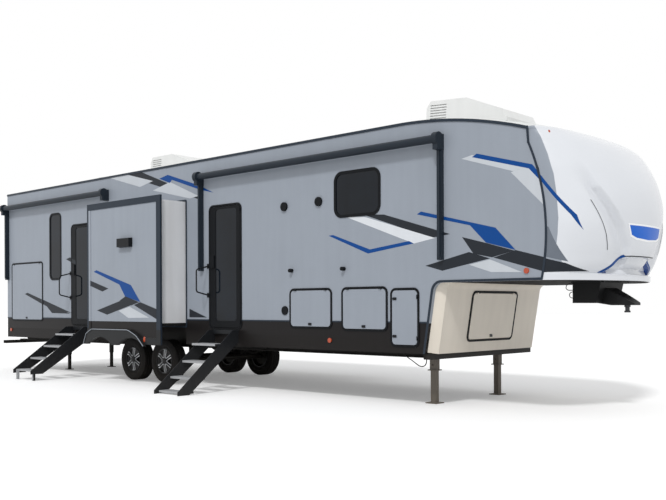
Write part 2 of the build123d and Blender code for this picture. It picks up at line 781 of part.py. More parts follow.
# Slide-out rooms: a hollow box and its outer plate with a proud border and a skirt. The right one
# carries a moulded double fender, with a rolled lip, and a porch lamp (x, z, width, height, depth).
fender_corners = ((-8690, -610), (-8600, -430), (-8430, -356), (-7400, -356), (-7190, -430), (-6975, -610))
fender_proud = 48
fender_lip = 16
fender_arch = 560
fender_arch_z = -1045
porch_lamp = (-7507, 1019, 345, 150, 70)
for name, (side, box, out) in slides.items():
    x0, x1, z0, z1 = box
    back = out - slide_plate
    inner = -slide_lap
    edge = 50
    outer_box = (x0 - edge, x1 + edge, skirt_low, z1 + 67)
    with BuildPart() as room:
        add(plate(side, box, 0, 0, back, inner))
        add(plate(side, box, 0, -slide_wall, back - slide_wall, inner - 9), mode=Mode.SUBTRACT)
        add(frame_ring(body_face[side], on_face(side, (x0, x1, z0 + 2, z1)), 0, -10, slide_flange - 12,
                       -wall - 6, -wall - 18))
        add(plate(side, (x0 - 99, x1 + 99, z0 - 99, z0), 0, 0, 0, -200), mode=Mode.SUBTRACT)
    write(room.part, f"slide_{name}_room")
    with BuildPart() as shell:
        add(plate(side, outer_box, 0, 0, out, back))
        add(frame_ring(body_face[side], on_face(side, outer_box), 0, -slide_trim, 0,
                       out + slide_trim_proud, out))
        if side < 0:
            for grow in (0, fender_lip):
                with BuildSketch(body_face[side].offset(out)):
                    with BuildLine():
                        Polyline(*fender_corners, close=True)
                    make_face()
                    fillet(vertices().group_by(Axis.Y)[-1], 120)
                    if grow:
                        offset(amount=-fender_lip, mode=Mode.SUBTRACT)
                extrude(amount=fender_proud + grow / 2)
            with Locations(*[Location((x, -half_width - out, fender_arch_z), (90, 0, 0)) for x in wheel_xs]):
                Cylinder(fender_arch, 4 * fender_proud, mode=Mode.SUBTRACT)
            with BuildSketch(body_face[side].offset(out)):
                with Locations((porch_lamp[0], porch_lamp[1])):
                    RectangleRounded(porch_lamp[2], porch_lamp[3], 12)
            extrude(amount=porch_lamp[4], taper=6)
        else:
            add(plate(side, (-4000 + x0, 0, skirt_low - 9, slide_base), 0, 0, out + 20, back - 9),
                mode=Mode.SUBTRACT)
    write(shell.part, f"slide_{name}_face")

# Bars on the floor's edge that the rooms slide on
bar_deep = 40
with BuildPart() as slide_bars:
    for side, box, out in slides.values():
        bar = (box[0] + 60, box[1] - 60, floor_top, slide_base - slide_rest)
        add(plate(side, bar, 0, 0, -wall, -wall - bar_deep))
write(slide_bars.part, "slide_bars")

# Mouldings: drip rails, belt, cap seam and strips round the slide-out openings
rail_deep = 34
seam_half = 13
front_moulding = 28
with BuildPart() as edge_trims:
    low = bow_radius - rail_deep
    for side in (-1, 1):
        with BuildSketch(Plane.XZ.offset(-side * half_width)):
            with BuildLine():
                Line((rear_x, roof_z), bow_point(bow_radius, 0))
                ThreePointArc(*[bow_point(bow_radius, s) for s in (0, 0.5, 1)])
                Line(bow_point(bow_radius, 1), bow_point(low, 1))
                ThreePointArc(*[bow_point(low, s) for s in (1, 0.5, 0)])
                Polyline(bow_point(low, 0), (rear_x, roof_z - rail_deep), (rear_x, roof_z))
            make_face()
        extrude(amount=-side * ring_proud)
        with BuildSketch(Plane.XZ.offset(-side * half_width)):
            with BuildLine():
                runs = [[(x + shift, z) for x, z in (seam_high, seam_mid, seam_low)]
                        for shift in (-seam_half, seam_half)]
                for run in runs:
                    ThreePointArc(*run)
                Line(runs[0][0], runs[1][0])
                Line(runs[0][2], runs[1][2])
            make_face()
        extrude(amount=-side * belt_proud)
        with BuildSketch(Plane.XZ.offset(-side * half_width)):
            foot = (raked(skirt_low, bulkhead_return), skirt_low)
            knee = (raked(deck_z, bulkhead_return), deck_z)
            back = front_moulding / cos(radians(bulkhead_rake))
            with BuildLine():
                outer = FilletPolyline(seam_low, knee, foot, radius=wall_knee_radius)
                inner = FilletPolyline((seam_low[0], deck_z + front_moulding),
                                       (knee[0] - back, deck_z + front_moulding), (foot[0] - back, skirt_low),
                                       radius=wall_knee_radius + front_moulding)
                Line(outer @ 0, inner @ 0)
                Line(outer @ 1, inner @ 1)
            make_face()
        extrude(amount=-side * belt_proud)
    for side in (-1, 1):
        with BuildPart(mode=Mode.PRIVATE) as belt:
            front = raked(belt_z, bulkhead_return) - 20
            add(plate(side, (rear_x, front, belt_z, belt_z + belt_high), 0, 0, belt_proud, 0))
            openings = [row[1] for row in hatches.values() if row[0] == side]
            openings += [row[1] for row in slides.values() if row[0] == side]
            openings += list(doors.values()) if side < 0 else []
            for box in openings:
                add(plate(side, box, 0, ring_wide + 2, 20, -1), mode=Mode.SUBTRACT)
        add(belt.part)
        at, box, out = slides["right" if side < 0 else "left"]
        x0, x1, z0, z1 = box
        with BuildPart(mode=Mode.PRIVATE) as strip:
            add(frame_ring(body_face[side], on_face(side, box), 0, slide_gap, 34, flange_strip, 0))
            add(plate(side, (x0 - 90, x1 + 90, skirt_low - 99, wall_low), 0, 0, 20, -1), mode=Mode.SUBTRACT)
        add(strip.part)
write(edge_trims.part, "edge_trims")

# Folding entry steps, let down: two side plates and their treads, out from the wall
steps = {
    "front": ((-5950, -5400), ((341, -550), (516, -795), (731, -1013), (931, -1200)),
              ((5, -345), (121, -345), (1111, -1180), (1111, -1230), (911, -1230), (5, -520))),
    "rear": ((-9900, -9300), ((291, -480), (521, -680), (771, -880), (1011, -1070)),
             ((5, -345), (181, -345), (1181, -1060), (1181, -1120), (961, -1120), (5, -520))),
}
step_plate = 10
step_leg_reach = 1111
tread_deep = 200
tread_thick = 30
for name, ((x0, x1), treads, outline) in steps.items():
    with BuildPart() as entry_steps:
        for x in (x0, x1 - step_plate):
            with BuildSketch(Plane.YZ.offset(x)):
                with BuildLine():
                    Polyline(*[(-half_width - reach, z) for reach, z in outline], close=True)
                make_face()
            extrude(amount=step_plate)
        with Locations(*[((x0 + x1) / 2, -half_width - reach, z) for reach, z in treads]):
            Box(x1 - x0 - step_plate, tread_deep, tread_thick)
        with Locations(((x0 + x1) / 2, -half_width, -345)):
            Box(x1 - x0, 40, 60, align=(Align.CENTER, Align.MAX, Align.MAX))
        if name == "rear":
            foot_y = -half_width - step_leg_reach
            with Locations((x0 + 30, foot_y, ground), (x1 - 30, foot_y, ground)):
                Box(40, 40, 170, align=(Align.CENTER, Align.CENTER, Align.MIN))
    write(entry_steps.part, f"entry_steps_{name}")

# Awnings: rolled fabric on a tube between end castings, arms folded against the wall
# name: tube (x rear, x front), tube z, arms' x, arm foot z
awnings = {
    "front": ((-6270, -1710), 1975, (-6235, -1745), 545),
    "rear": ((-12400, -8780), 1965, (-12360,), 550),
}
awning_radius = 50
awning_out = 95
awning_head = 78
arm_wide = 62
arm_deep = 60
for name, ((x0, x1), z, arms, foot) in awnings.items():
    with BuildPart() as awning:
        with Locations(Location(((x0 + x1) / 2, -half_width - awning_out, z), (0, 90, 0))):
            Cylinder(awning_radius, x1 - x0)
        for x in (x0 + 35, x1 - 35):
            with Locations((x, -half_width, z + 60)):
                Box(70, awning_out + 40, 190, align=(Align.CENTER, Align.MAX, Align.MAX))
            with Locations(Location((x, -half_width - awning_out, z), (0, 90, 0))):
                Cylinder(awning_head, 70)
        with Locations(*[(x, -half_width, foot) for x in arms]):
            Box(arm_wide, arm_deep, z - foot, align=(Align.CENTER, Align.MAX, Align.MIN))
        with Locations(*[(x, -half_width - arm_deep, foot + 30) for x in arms]):
            Box(arm_wide - 24, 16, z - foot - 90, align=(Align.CENTER, Align.MAX, Align.MIN))
    write(awning.part, f"awning_{name}")

# Air conditioners on the roof: a sloped shroud with louvres in its rear sides
air_x = (-2000, -8145)
air_size = (1240, 720, 330)
with BuildPart() as air_conditioners:
    long, wide, high = air_size
    for x in air_x:
        turn = asin(max(x - roof_bow_x, 0) / bow_radius)
        z = roof_z - bow_radius + bow_radius * cos(turn) + roof_crown
        with BuildPart(mode=Mode.PRIVATE) as shroud:
            with BuildSketch(Plane.XZ.offset(-wide / 2)):
                with BuildLine():
                    Polyline((-long / 2, -12), (-long / 2, high * 0.72), (-long / 2 + 60, high),
                             (0, high), (long / 2 - 60, high * 0.42), (long / 2, 40), (long / 2, -12), close=True)
                make_face()
            extrude(amount=wide)
            fillet(shroud.edges().filter_by(Axis.Y).group_by(Axis.Z)[-1], 30)
            for row in range(6):
                with Locations((-long / 2 + 190, 0, high * 0.3 + row * 34)):
                    Box(260, wide + 20, 14, mode=Mode.SUBTRACT)
                    Box(280, wide - 60, 14)
        tilt = Location((x, 0, z), (0, degrees(turn), 0))
        add(shroud.part.moved(tilt))
    add(roof.part, mode=Mode.SUBTRACT)
write(air_conditioners.part, "air_conditioners")

# Roof vents and pipes
vents = ((-5900, 0, 360, 110), (-10700, 0, 360, 110), (-4300, 500, 120, 90), (-10000, -560, 120, 120))
with BuildPart() as roof_vents:
    for x, y, size, high in vents:
        z = roof_z + roof_crown * (1 - (y / half_width)**2) - 20
        with Locations((x, y, z)):
            Box(size, size, high, align=(Align.CENTER, Align.CENTER, Align.MIN))
    add(roof.part, mode=Mode.SUBTRACT)
write(roof_vents.part, "roof_vents")

# Grab handles beside the doors, swung out square to the wall
handle_radius = 11
handle_out = 230
with BuildPart() as grab_handles:
    for x in (-6098, -10028):
        with BuildLine(mode=Mode.PRIVATE) as bar:
            FilletPolyline((x, -half_width - 4, 615), (x, -half_width - handle_out, 560),
                           (x, -half_width - handle_out, 225), (x, -half_width - 4, 175), radius=45)
        start = bar.line @ 0
        with BuildSketch(Plane(origin=start, z_dir=bar.line % 0)):
            Circle(handle_radius)
        sweep(path=bar.wires()[0])
    with Locations(*[(x, -half_width, z) for x in (-6098, -10028) for z in (615, 175)]):
        Box(36, 14, 70, align=(Align.CENTER, Align.MAX, Align.CENTER))
write(grab_handles.part, "grab_handles")

# Wall fittings on the door side: x, z, radius, depth
round_fittings = ((-4425, 1387, 62, 26), (-3762, 1404, 62, 26), (-4279, 493, 26, 60),
                  (-3309, 489, 26, 60), (-4421, -57, 62, 14))
with BuildPart() as wall_fittings:
    for x, z, radius, deep in round_fittings:
        with Locations(Location((x, -half_width, z), (90, 0, 0))):
            Cylinder(radius, deep, align=(Align.CENTER, Align.CENTER, Align.MIN))
write(wall_fittings.part, "wall_fittings")

# Lamps: amber side markers and red tail lamps
with BuildPart() as marker_lamps:
    for side in (-1, 1):
        for x, z in ((-603, 383), (-3569, -452), (-12250, -440)):
            with Locations(Location((x, side * half_width, z), (-90 * side, 0, 0))):
                Cylinder(32, 14, align=(Align.CENTER, Align.CENTER, Align.MIN))
        with Locations((rear_x, side * (half_width - 179), -330)):
            Box(24, 150, 150, align=(Align.MAX, Align.CENTER, Align.CENTER))
write(marker_lamps.part, "marker_lamps")

# Cords: the leg motor's lead under the skirt and two leads looped behind the pin box, in XZ planes
cords = {
    "leg_cable": (12, -1120, ((-2450, -400), (-2450, -500), (-2420, -585), (-2350, -636), (-2270, -674),
                              (-2200, -718), (-2141, -745), (-2085, -738), (-2050, -700),
                              (-2050, skirt_low - front_beam[1]))),
    "hitch_cable_high": (9, -280, ((-535, 262), (-565, 262), (-603, 252), (-630, 226), (-628, 194),
                                   (-600, 177), (-566, 178), (-535, 178))),
    "hitch_cable_low": (9, -280, ((-535, 158), (-555, 158), (-579, 144), (-588, 119), (-577, 96),
                                  (-553, 86), (-535, 86))),
}
for name, (diameter, y, route) in cords.items():
    points = [Vector(x, y, z) for x, z in route]
    runs = [b - a for a, b in zip(points, points[1:])]
    radii = [0.45 * min(a.length, b.length) / tan(radians(a.get_angle(b)) / 2) for a, b in zip(runs, runs[1:])]
    with BuildPart() as cord:
        with BuildLine() as path:
            FilletPolyline(*points, radius=radii)
        with BuildSketch(Plane(origin=points[0], z_dir=runs[0])):
            Circle(diameter / 2)
        sweep(path=path.wires()[0])
    print(name, "length", round(path.wires()[0].length), "radii", [round(r) for r in radii])
    write(cord.part, name)
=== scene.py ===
from math import cos, hypot, pi, radians, sin

import bmesh
import bpy
from mathutils import Matrix, Vector


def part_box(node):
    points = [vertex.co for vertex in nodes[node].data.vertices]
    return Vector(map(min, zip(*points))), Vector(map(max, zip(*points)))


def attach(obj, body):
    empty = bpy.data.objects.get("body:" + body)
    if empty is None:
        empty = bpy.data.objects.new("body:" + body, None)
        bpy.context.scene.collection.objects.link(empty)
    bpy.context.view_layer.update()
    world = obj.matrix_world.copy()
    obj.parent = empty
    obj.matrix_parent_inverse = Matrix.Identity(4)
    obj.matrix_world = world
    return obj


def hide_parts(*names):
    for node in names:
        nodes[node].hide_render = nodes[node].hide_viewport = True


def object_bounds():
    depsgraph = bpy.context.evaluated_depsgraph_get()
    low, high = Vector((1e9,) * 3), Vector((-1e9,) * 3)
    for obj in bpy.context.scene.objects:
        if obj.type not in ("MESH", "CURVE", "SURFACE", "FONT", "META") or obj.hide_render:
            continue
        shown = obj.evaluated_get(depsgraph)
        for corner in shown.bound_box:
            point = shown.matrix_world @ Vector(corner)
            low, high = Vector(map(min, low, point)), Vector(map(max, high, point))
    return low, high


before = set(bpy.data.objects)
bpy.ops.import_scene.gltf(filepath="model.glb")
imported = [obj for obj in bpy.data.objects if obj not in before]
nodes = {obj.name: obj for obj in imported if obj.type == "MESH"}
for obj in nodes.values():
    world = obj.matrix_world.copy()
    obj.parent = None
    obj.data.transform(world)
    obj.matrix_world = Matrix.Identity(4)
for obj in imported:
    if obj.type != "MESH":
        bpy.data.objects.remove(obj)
cad_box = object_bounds()

# Camera: stands off the door side's front corner, a little above the height of the king pin,
# and looks level at the middle of the trailer, with the frame shifted as in the photograph.
camera_data = bpy.data.cameras.new("camera")
camera_data.sensor_width = 36
camera_data.lens = 47.66
camera_data.shift_x = -0.0094
camera_data.shift_y = 0.0864
camera_data.clip_end = 200
camera = bpy.data.objects.new("camera", camera_data)
camera.location = (4.423, -9.768, -0.002)
camera.rotation_euler = (Matrix.Rotation(radians(42.463), 4, "Z")
                         @ Matrix.Rotation(radians(90 - 0.076), 4, "X")
                         @ Matrix.Rotation(radians(-0.205), 4, "Z")).to_euler()
bpy.context.scene.collection.objects.link(camera)
bpy.context.scene.camera = camera

# Cables: the leg motor's lead, which hangs from the skirt and goes back up to its gearbox, and two
# short loops of lead behind the pin box. Black rubber jacket; both ends of each go into the trailer.


def srgb(code):
    """Linear colour with alpha of a hex code."""
    shares = [int(code[i:i + 2], 16) / 255 for i in (1, 3, 5)]
    return [s / 12.92 if s <= 0.04045 else ((s + 0.055) / 1.055) ** 2.4 for s in shares] + [1]


def socket(tree, name, kind, way="INPUT"):
    """Adds a named socket to a shader node group."""
    tree.interface.new_socket(name=name, in_out=way, socket_type=kind)


def wired(tree, kind, operation=None, **inputs):
    """Adds a node, sets its operation, and joins or sets its inputs by name or number."""
    node = tree.nodes.new(kind)
    if operation:
        node.operation = operation
    for key, value in inputs.items():
        target = node.inputs[int(key[1:])] if key[0] == "i" and key[1:].isdigit() else node.inputs[key]
        if isinstance(value, bpy.types.NodeSocket):
            tree.links.new(value, target)
        else:
            target.default_value = value
    return node


# Patches, streaks and road dust; on the glass the strong patches and streaks are a painted reflection.
surface = bpy.data.node_groups.new("weathering_and_painted_reflection", "ShaderNodeTree")
socket(surface, "Colour", "NodeSocketColor")
socket(surface, "Dust", "NodeSocketColor")
for word in ("Roughness", "Patches", "Streaks", "Dust Amount", "Grain Size"):
    socket(surface, word, "NodeSocketFloat")
socket(surface, "Colour", "NodeSocketColor", "OUTPUT")
socket(surface, "Roughness", "NodeSocketFloat", "OUTPUT")
socket(surface, "Height", "NodeSocketFloat", "OUTPUT")
given = surface.nodes.new("NodeGroupInput")
sent = surface.nodes.new("NodeGroupOutput")
place = surface.nodes.new("ShaderNodeTexCoord").outputs["Object"]
patch = wired(surface, "ShaderNodeTexNoise", Vector=place, Scale=1.7, Detail=4.0)
tall = wired(surface, "ShaderNodeMapping", Vector=place, Scale=(9, 9, 0.7))
streak = wired(surface, "ShaderNodeTexNoise", Vector=tall.outputs[0], Scale=1.0, Detail=5.0)
grain = wired(surface, "ShaderNodeTexNoise", Vector=place, Scale=given.outputs["Grain Size"], Detail=2.0)
patch_off = wired(surface, "ShaderNodeMath", "SUBTRACT", i0=patch.outputs["Fac"], i1=0.5)
patch_by = wired(surface, "ShaderNodeMath", "MULTIPLY", i0=patch_off.outputs[0], i1=given.outputs["Patches"])
streak_off = wired(surface, "ShaderNodeMath", "SUBTRACT", i0=streak.outputs["Fac"], i1=0.5)
streak_by = wired(surface, "ShaderNodeMath", "MULTIPLY", i0=streak_off.outputs[0], i1=given.outputs["Streaks"])
shade = wired(surface, "ShaderNodeMath", "ADD", i0=patch_by.outputs[0], i1=streak_by.outputs[0])
shade_up = wired(surface, "ShaderNodeMath", "MULTIPLY_ADD", i0=shade.outputs[0], i1=3.0, i2=1.0)
toned = wired(surface, "ShaderNodeVectorMath", "SCALE", i0=given.outputs["Colour"], Scale=shade_up.outputs[0])
height = surface.nodes.new("ShaderNodeSeparateXYZ")
surface.links.new(place, height.inputs[0])
low = wired(surface, "ShaderNodeMapRange", Value=height.outputs["Z"])
low.inputs["From Min"].default_value = -0.1
low.inputs["From Max"].default_value = -1.2
fine = wired(surface, "ShaderNodeTexNoise", Vector=tall.outputs[0], Scale=4.0, Detail=6.0)
spread = wired(surface, "ShaderNodeMath", "MULTIPLY", i0=low.outputs["Result"], i1=fine.outputs["Fac"])
cover = wired(surface, "ShaderNodeMath", "MULTIPLY", i0=spread.outputs[0], i1=given.outputs["Dust Amount"])
dusty = surface.nodes.new("ShaderNodeMix")
dusty.data_type = "RGBA"
surface.links.new(cover.outputs[0], dusty.inputs[0])
surface.links.new(toned.outputs[0], dusty.inputs[6])
surface.links.new(given.outputs["Dust"], dusty.inputs[7])
dull = wired(surface, "ShaderNodeMath", "MULTIPLY_ADD", i0=cover.outputs[0], i1=0.5,
             i2=given.outputs["Roughness"])
uneven = wired(surface, "ShaderNodeMath", "MULTIPLY_ADD", i0=patch_off.outputs[0], i1=0.12, i2=dull.outputs[0])
surface.links.new(dusty.outputs[2], sent.inputs["Colour"])
surface.links.new(uneven.outputs[0], sent.inputs["Roughness"])
surface.links.new(grain.outputs["Fac"], sent.inputs["Height"])

panel = bpy.data.node_groups.new("inside_box", "ShaderNodeTree")
socket(panel, "Low", "NodeSocketVector")
socket(panel, "High", "NodeSocketVector")
socket(panel, "Mask", "NodeSocketFloat", "OUTPUT")
given = panel.nodes.new("NodeGroupInput")
sent = panel.nodes.new("NodeGroupOutput")
place = panel.nodes.new("ShaderNodeTexCoord").outputs["Object"]
above = wired(panel, "ShaderNodeVectorMath", "SUBTRACT", i0=place, i1=given.outputs["Low"])
below = wired(panel, "ShaderNodeVectorMath", "SUBTRACT", i0=given.outputs["High"], i1=place)
room = wired(panel, "ShaderNodeVectorMath", "MINIMUM", i0=above.outputs[0], i1=below.outputs[0])
split = panel.nodes.new("ShaderNodeSeparateXYZ")
panel.links.new(room.outputs[0], split.inputs[0])
least = wired(panel, "ShaderNodeMath", "MINIMUM", i0=split.outputs[0], i1=split.outputs[1])
least = wired(panel, "ShaderNodeMath", "MINIMUM", i0=least.outputs[0], i1=split.outputs[2])
inside = wired(panel, "ShaderNodeMath", "GREATER_THAN", i0=least.outputs[0], i1=0.0)
panel.links.new(inside.outputs[0], sent.inputs["Mask"])
road_dust = "#6f6558"


def finish(name, colour, roughness, zones=(), metallic=0.0, coat=0.0, patches=0.05, streaks=0.04,
           dust=0.2, grain=300.0, bump=0.02, gloss=0.3):
    """Material with weathering, which on the glass is strong enough to be a painted reflection. Each zone is
    (low corner, high corner, colour) and paints over it.
    """
    material = bpy.data.materials.new(name)
    material.use_nodes = True
    tree = material.node_tree
    shader = tree.nodes["Principled BSDF"]
    worn = tree.nodes.new("ShaderNodeGroup")
    worn.node_tree = surface
    tone = None
    for low, high, over in zones:
        where = tree.nodes.new("ShaderNodeGroup")
        where.node_tree = panel
        where.inputs["Low"].default_value = low
        where.inputs["High"].default_value = high
        mix = tree.nodes.new("ShaderNodeMix")
        mix.data_type = "RGBA"
        if tone is None:
            mix.inputs[6].default_value = srgb(colour)
        else:
            tree.links.new(tone, mix.inputs[6])
        mix.inputs[7].default_value = srgb(over)
        tree.links.new(where.outputs["Mask"], mix.inputs[0])
        tone = mix.outputs[2]
    if tone is None:
        worn.inputs["Colour"].default_value = srgb(colour)
    else:
        tree.links.new(tone, worn.inputs["Colour"])
    worn.inputs["Dust"].default_value = srgb(road_dust)
    worn.inputs["Roughness"].default_value = roughness
    worn.inputs["Patches"].default_value = patches
    worn.inputs["Streaks"].default_value = streaks
    worn.inputs["Dust Amount"].default_value = dust
    worn.inputs["Grain Size"].default_value = grain
    raised = tree.nodes.new("ShaderNodeBump")
    raised.inputs["Strength"].default_value = bump
    raised.inputs["Distance"].default_value = 0.002
    tree.links.new(worn.outputs["Height"], raised.inputs["Height"])
    tree.links.new(worn.outputs["Colour"], shader.inputs["Base Color"])
    tree.links.new(worn.outputs["Roughness"], shader.inputs["Roughness"])
    tree.links.new(raised.outputs["Normal"], shader.inputs["Normal"])
    shader.inputs["Metallic"].default_value = metallic
    shader.inputs["Coat Weight"].default_value = coat
    shader.inputs["Specular IOR Level"].default_value = gloss
    return material


def dress(material, *names):
    """Gives CAD nodes their finish."""
    for name in names:
        for held in nodes[name].material_slots:
            held.material = material


cable_rubber = finish("cable_rubber", "#141516", 0.55, dust=0.15, grain=1500.0, bump=0.1, gloss=0.3)
# name: diameter, length, place across the trailer, route along it and up
cables = {
    "leg_cable": (0.012, 0.659, -1.12, [
        (-2.45, -0.4), (-2.45, -0.5), (-2.42, -0.585), (-2.35, -0.636), (-2.27, -0.674), (-2.2, -0.718),
        (-2.141, -0.745), (-2.085, -0.738), (-2.05, -0.7), (-2.05, -0.653)]),
    "hitch_cable_high": (0.009, 0.231, -0.28, [
        (-0.535, 0.262), (-0.565, 0.262), (-0.603, 0.252), (-0.63, 0.226), (-0.628, 0.194), (-0.6, 0.177),
        (-0.566, 0.178), (-0.535, 0.178)]),
    "hitch_cable_low": (0.009, 0.14, -0.28, [
        (-0.535, 0.158), (-0.555, 0.158), (-0.579, 0.144), (-0.588, 0.119), (-0.577, 0.096), (-0.553, 0.086),
        (-0.535, 0.086)]),
}
for name, (thick, length, y, route) in cables.items():
    line = bpy.data.curves.new(f"{name}_line", "CURVE")
    line.dimensions = "3D"
    line.bevel_depth = thick / 2
    line.bevel_resolution = 4
    line.resolution_u = 12
    spline = line.splines.new("NURBS")
    spline.points.add(len(route) - 1)
    for point, (x, z) in zip(spline.points, route):
        point.co = (x, y, z, 1)
    spline.order_u = 3
    spline.use_endpoint_u = True
    line.materials.append(cable_rubber)
    cable = bpy.data.objects.new(f"{name}_lead", line)
    bpy.context.scene.collection.objects.link(cable)
    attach(cable, "trailer")
    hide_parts(name)

# View: the standard transform, with every other setting at its default, so that colours show as
# they are written.
bpy.context.scene.view_settings.view_transform = "Standard"

# Studio: a pale floor under the tyres and feet, a white surround that the camera and gloss see,
# and one broad soft lamp from the front, high up, as the sun stood when the trailer was shown.
ground_z = cad_box[0].z


def linked(bm, name):
    """Turns a bmesh into a linked object of that name."""
    mesh = bpy.data.meshes.new(name)
    bm.to_mesh(mesh)
    bm.free()
    piece = bpy.data.objects.new(name, mesh)
    bpy.context.scene.collection.objects.link(piece)
    return piece


bm = bmesh.new()
bmesh.ops.create_grid(bm, x_segments=1, y_segments=1, size=90,
                      matrix=Matrix.Translation((-6, 0, ground_z - 0.001)))
floor = linked(bm, "floor")
floor_material = bpy.data.materials.new("studio_floor")
floor_material.use_nodes = True
tree = floor_material.node_tree
shader = tree.nodes["Principled BSDF"]
shader.inputs["Base Color"].default_value = srgb("#f2f2f2")
shader.inputs["Roughness"].default_value = 0.9
shader.inputs["Specular IOR Level"].default_value = 0.1
shader.inputs["Emission Color"].default_value = (1, 1, 1, 1)
seen = tree.nodes.new("ShaderNodeLightPath")
glow = tree.nodes.new("ShaderNodeMath")
glow.operation = "MULTIPLY"
glow.inputs[1].default_value = 0.22
tree.links.new(seen.outputs["Is Camera Ray"], glow.inputs[0])
tree.links.new(glow.outputs[0], shader.inputs["Emission Strength"])
floor.data.materials.append(floor_material)

world = bpy.data.worlds.new("studio")
bpy.context.scene.world = world
world.use_nodes = True
tree = world.node_tree
tree.nodes["Background"].inputs["Color"].default_value = (1, 1, 1, 1)
seen = tree.nodes.new("ShaderNodeLightPath")
direct = tree.nodes.new("ShaderNodeMath")
direct.operation = "MAXIMUM"
tree.links.new(seen.outputs["Is Camera Ray"], direct.inputs[0])
tree.links.new(seen.outputs["Is Transmission Ray"], direct.inputs[1])
shiny = tree.nodes.new("ShaderNodeMath")
shiny.operation = "MAXIMUM"
tree.links.new(direct.outputs[0], shiny.inputs[0])
tree.links.new(seen.outputs["Is Glossy Ray"], shiny.inputs[1])
bright = tree.nodes.new("ShaderNodeMapRange")
bright.inputs["To Min"].default_value = 0.66
bright.inputs["To Max"].default_value = 1.0
tree.links.new(shiny.outputs[0], bright.inputs["Value"])
tree.links.new(bright.outputs["Result"], tree.nodes["Background"].inputs["Strength"])

sun_data = bpy.data.lights.new("sun", "SUN")
sun_data.energy = 1.5
sun_data.angle = radians(8)
sun = bpy.data.objects.new("sun", sun_data)
sun.rotation_euler = Vector((0.30, -0.60, 0.74)).to_track_quat("Z", "Y").to_euler()
bpy.context.scene.collection.objects.link(sun)

# Laminated walls: smooth glass-fibre sheet in mid grey, the lowest part under the belt in black,
# with the faint upright streaks of the lamination and road dust that thickens downward.
far = 99
belt_z = -0.21
skirt_black = "#1b191a"
wall_grey = "#959ca6"
below_belt = ((-far, -far, -far), (far, far, belt_z), skirt_black)
wall_paint = finish("wall_sheet", wall_grey, 0.32, zones=[below_belt], patches=0.03, streaks=0.035, dust=0.1,
                    grain=900.0, bump=0.01, gloss=0.15)
dress(wall_paint, "wall_left", "wall_right", "wall_rear")

# Skirts: painted aluminium sheet below the body, near black, screwed to the body's lower edge and
# stiffened by the outriggers behind it.
dress(finish("skirt_sheet", "#1c1a1a", 0.45, dust=0.06, grain=500.0, gloss=0.15), "skirts")

# Roof: white rubber membrane glued over a crowned deck, slightly soiled and grained, and held by the
# drip rails along its edges.
dress(finish("roof_rubber", "#dcdedd", 0.75, patches=0.12, streaks=0.02, dust=0, grain=260.0, bump=0.12),
      "roof")

# Front cap: moulded glass fibre in white gelcoat, glossy, with a grey band painted along its seam.
# It narrows to a bowed nose, with a lip at its foot, a scoop each side and a recess in its chin.
cap_paint = finish("cap_gelcoat", "#dadde2", 0.22, coat=0.25, gloss=0.3, patches=0.02, streaks=0.0, dust=0,
                   grain=1200.0, bump=0.004)
# height: place of the seam along the trailer
cap_seam = [(0.277, -0.418), (0.6, -0.375), (0.9, -0.364), (1.2, -0.388), (1.5, -0.450), (1.8, -0.578),
            (1.95, -0.592), (2.07, -0.597)]
# height: reach of the nose, half width, power of its curve
cap_rows = [(0.277, (0.062, 1.219, 1.6)), (0.352, (0.072, 1.219, 1.6)), (0.45, (0.162, 1.219, 1.6)),
            (0.56, (0.220, 1.219, 1.62)), (0.72, (0.245, 1.219, 1.8)), (0.90, (0.247, 1.219, 2.0)),
            (1.10, (0.254, 1.219, 2.0)), (1.30, (0.226, 1.219, 2.0)), (1.50, (0.149, 1.219, 2.05)),
            (1.68, (0.040, 1.219, 2.1)), (1.82, (-0.080, 1.219, 2.2)), (1.93, (-0.245, 1.213, 2.3)),
            (1.976, (-0.340, 1.205, 2.3)), (2.00, (-0.405, 1.044, 2.3)), (2.02, (-0.465, 0.871, 2.3)),
            (2.04, (-0.530, 0.656, 2.2)), (2.064, (-0.594, 0.10, 2.0))]
# height: scoop's edge across the trailer
scoop_outer = [(0.40, 0.69), (0.652, 0.782), (0.859, 0.872), (1.07, 0.970), (1.281, 1.057), (1.435, 1.124),
               (1.7, 1.2)]
scoop_inner = [(0.40, 0.30), (0.549, 0.328), (0.649, 0.369), (0.859, 0.509), (1.07, 0.676), (1.292, 0.848),
               (1.7, 0.98)]
scoop_deep = 0.085
scoop_foot, foot_fade = 0.36, 0.16
scoop_head, head_fade = 1.60, 0.4
# shares of the way from the scoop's outer edge to its inner one: deepest place, end of its back
scoop_floor, scoop_back = 0.94, 1.1
lip_out, lip_top, lip_ease = 0.063, 0.342, 0.012
cap_wall = 0.02


def between(table, at):
    """Value of a table at a height: straight between its rows."""
    for (z0, v0), (z1, v1) in zip(table, table[1:]):
        if at <= z1:
            break
    share = min(max((at - z0) / (z1 - z0), 0), 1)
    return v0 + (v1 - v0) * share


def eased(at):
    """Cap's plan sizes at a height, on smooth curves through its rows."""
    last = len(cap_rows) - 1
    i = min(max(sum(z < at for z, sizes in cap_rows) - 1, 0), last - 1)
    z0, z1 = cap_rows[i][0], cap_rows[i + 1][0]
    share = (at - z0) / (z1 - z0)
    made = []
    for a, b, c, d in zip(*(cap_rows[min(max(k, 0), last)][1] for k in (i - 1, i, i + 1, i + 2))):
        za, zd = cap_rows[max(i - 1, 0)][0], cap_rows[min(i + 2, last)][0]
        rise = (c - a) / (z1 - za) * (z1 - z0)
        leave = (d - b) / (zd - z0) * (z1 - z0)
        made.append(b * (2 * share ** 3 - 3 * share ** 2 + 1) + rise * (share ** 3 - 2 * share ** 2 + share)
                    + c * (3 * share ** 2 - 2 * share ** 3) + leave * (share ** 3 - share ** 2))
    return made


def soft(value):
    """Eases 0 to 1."""
    value = min(max(value, 0), 1)
    return value * value * (3 - 2 * value)


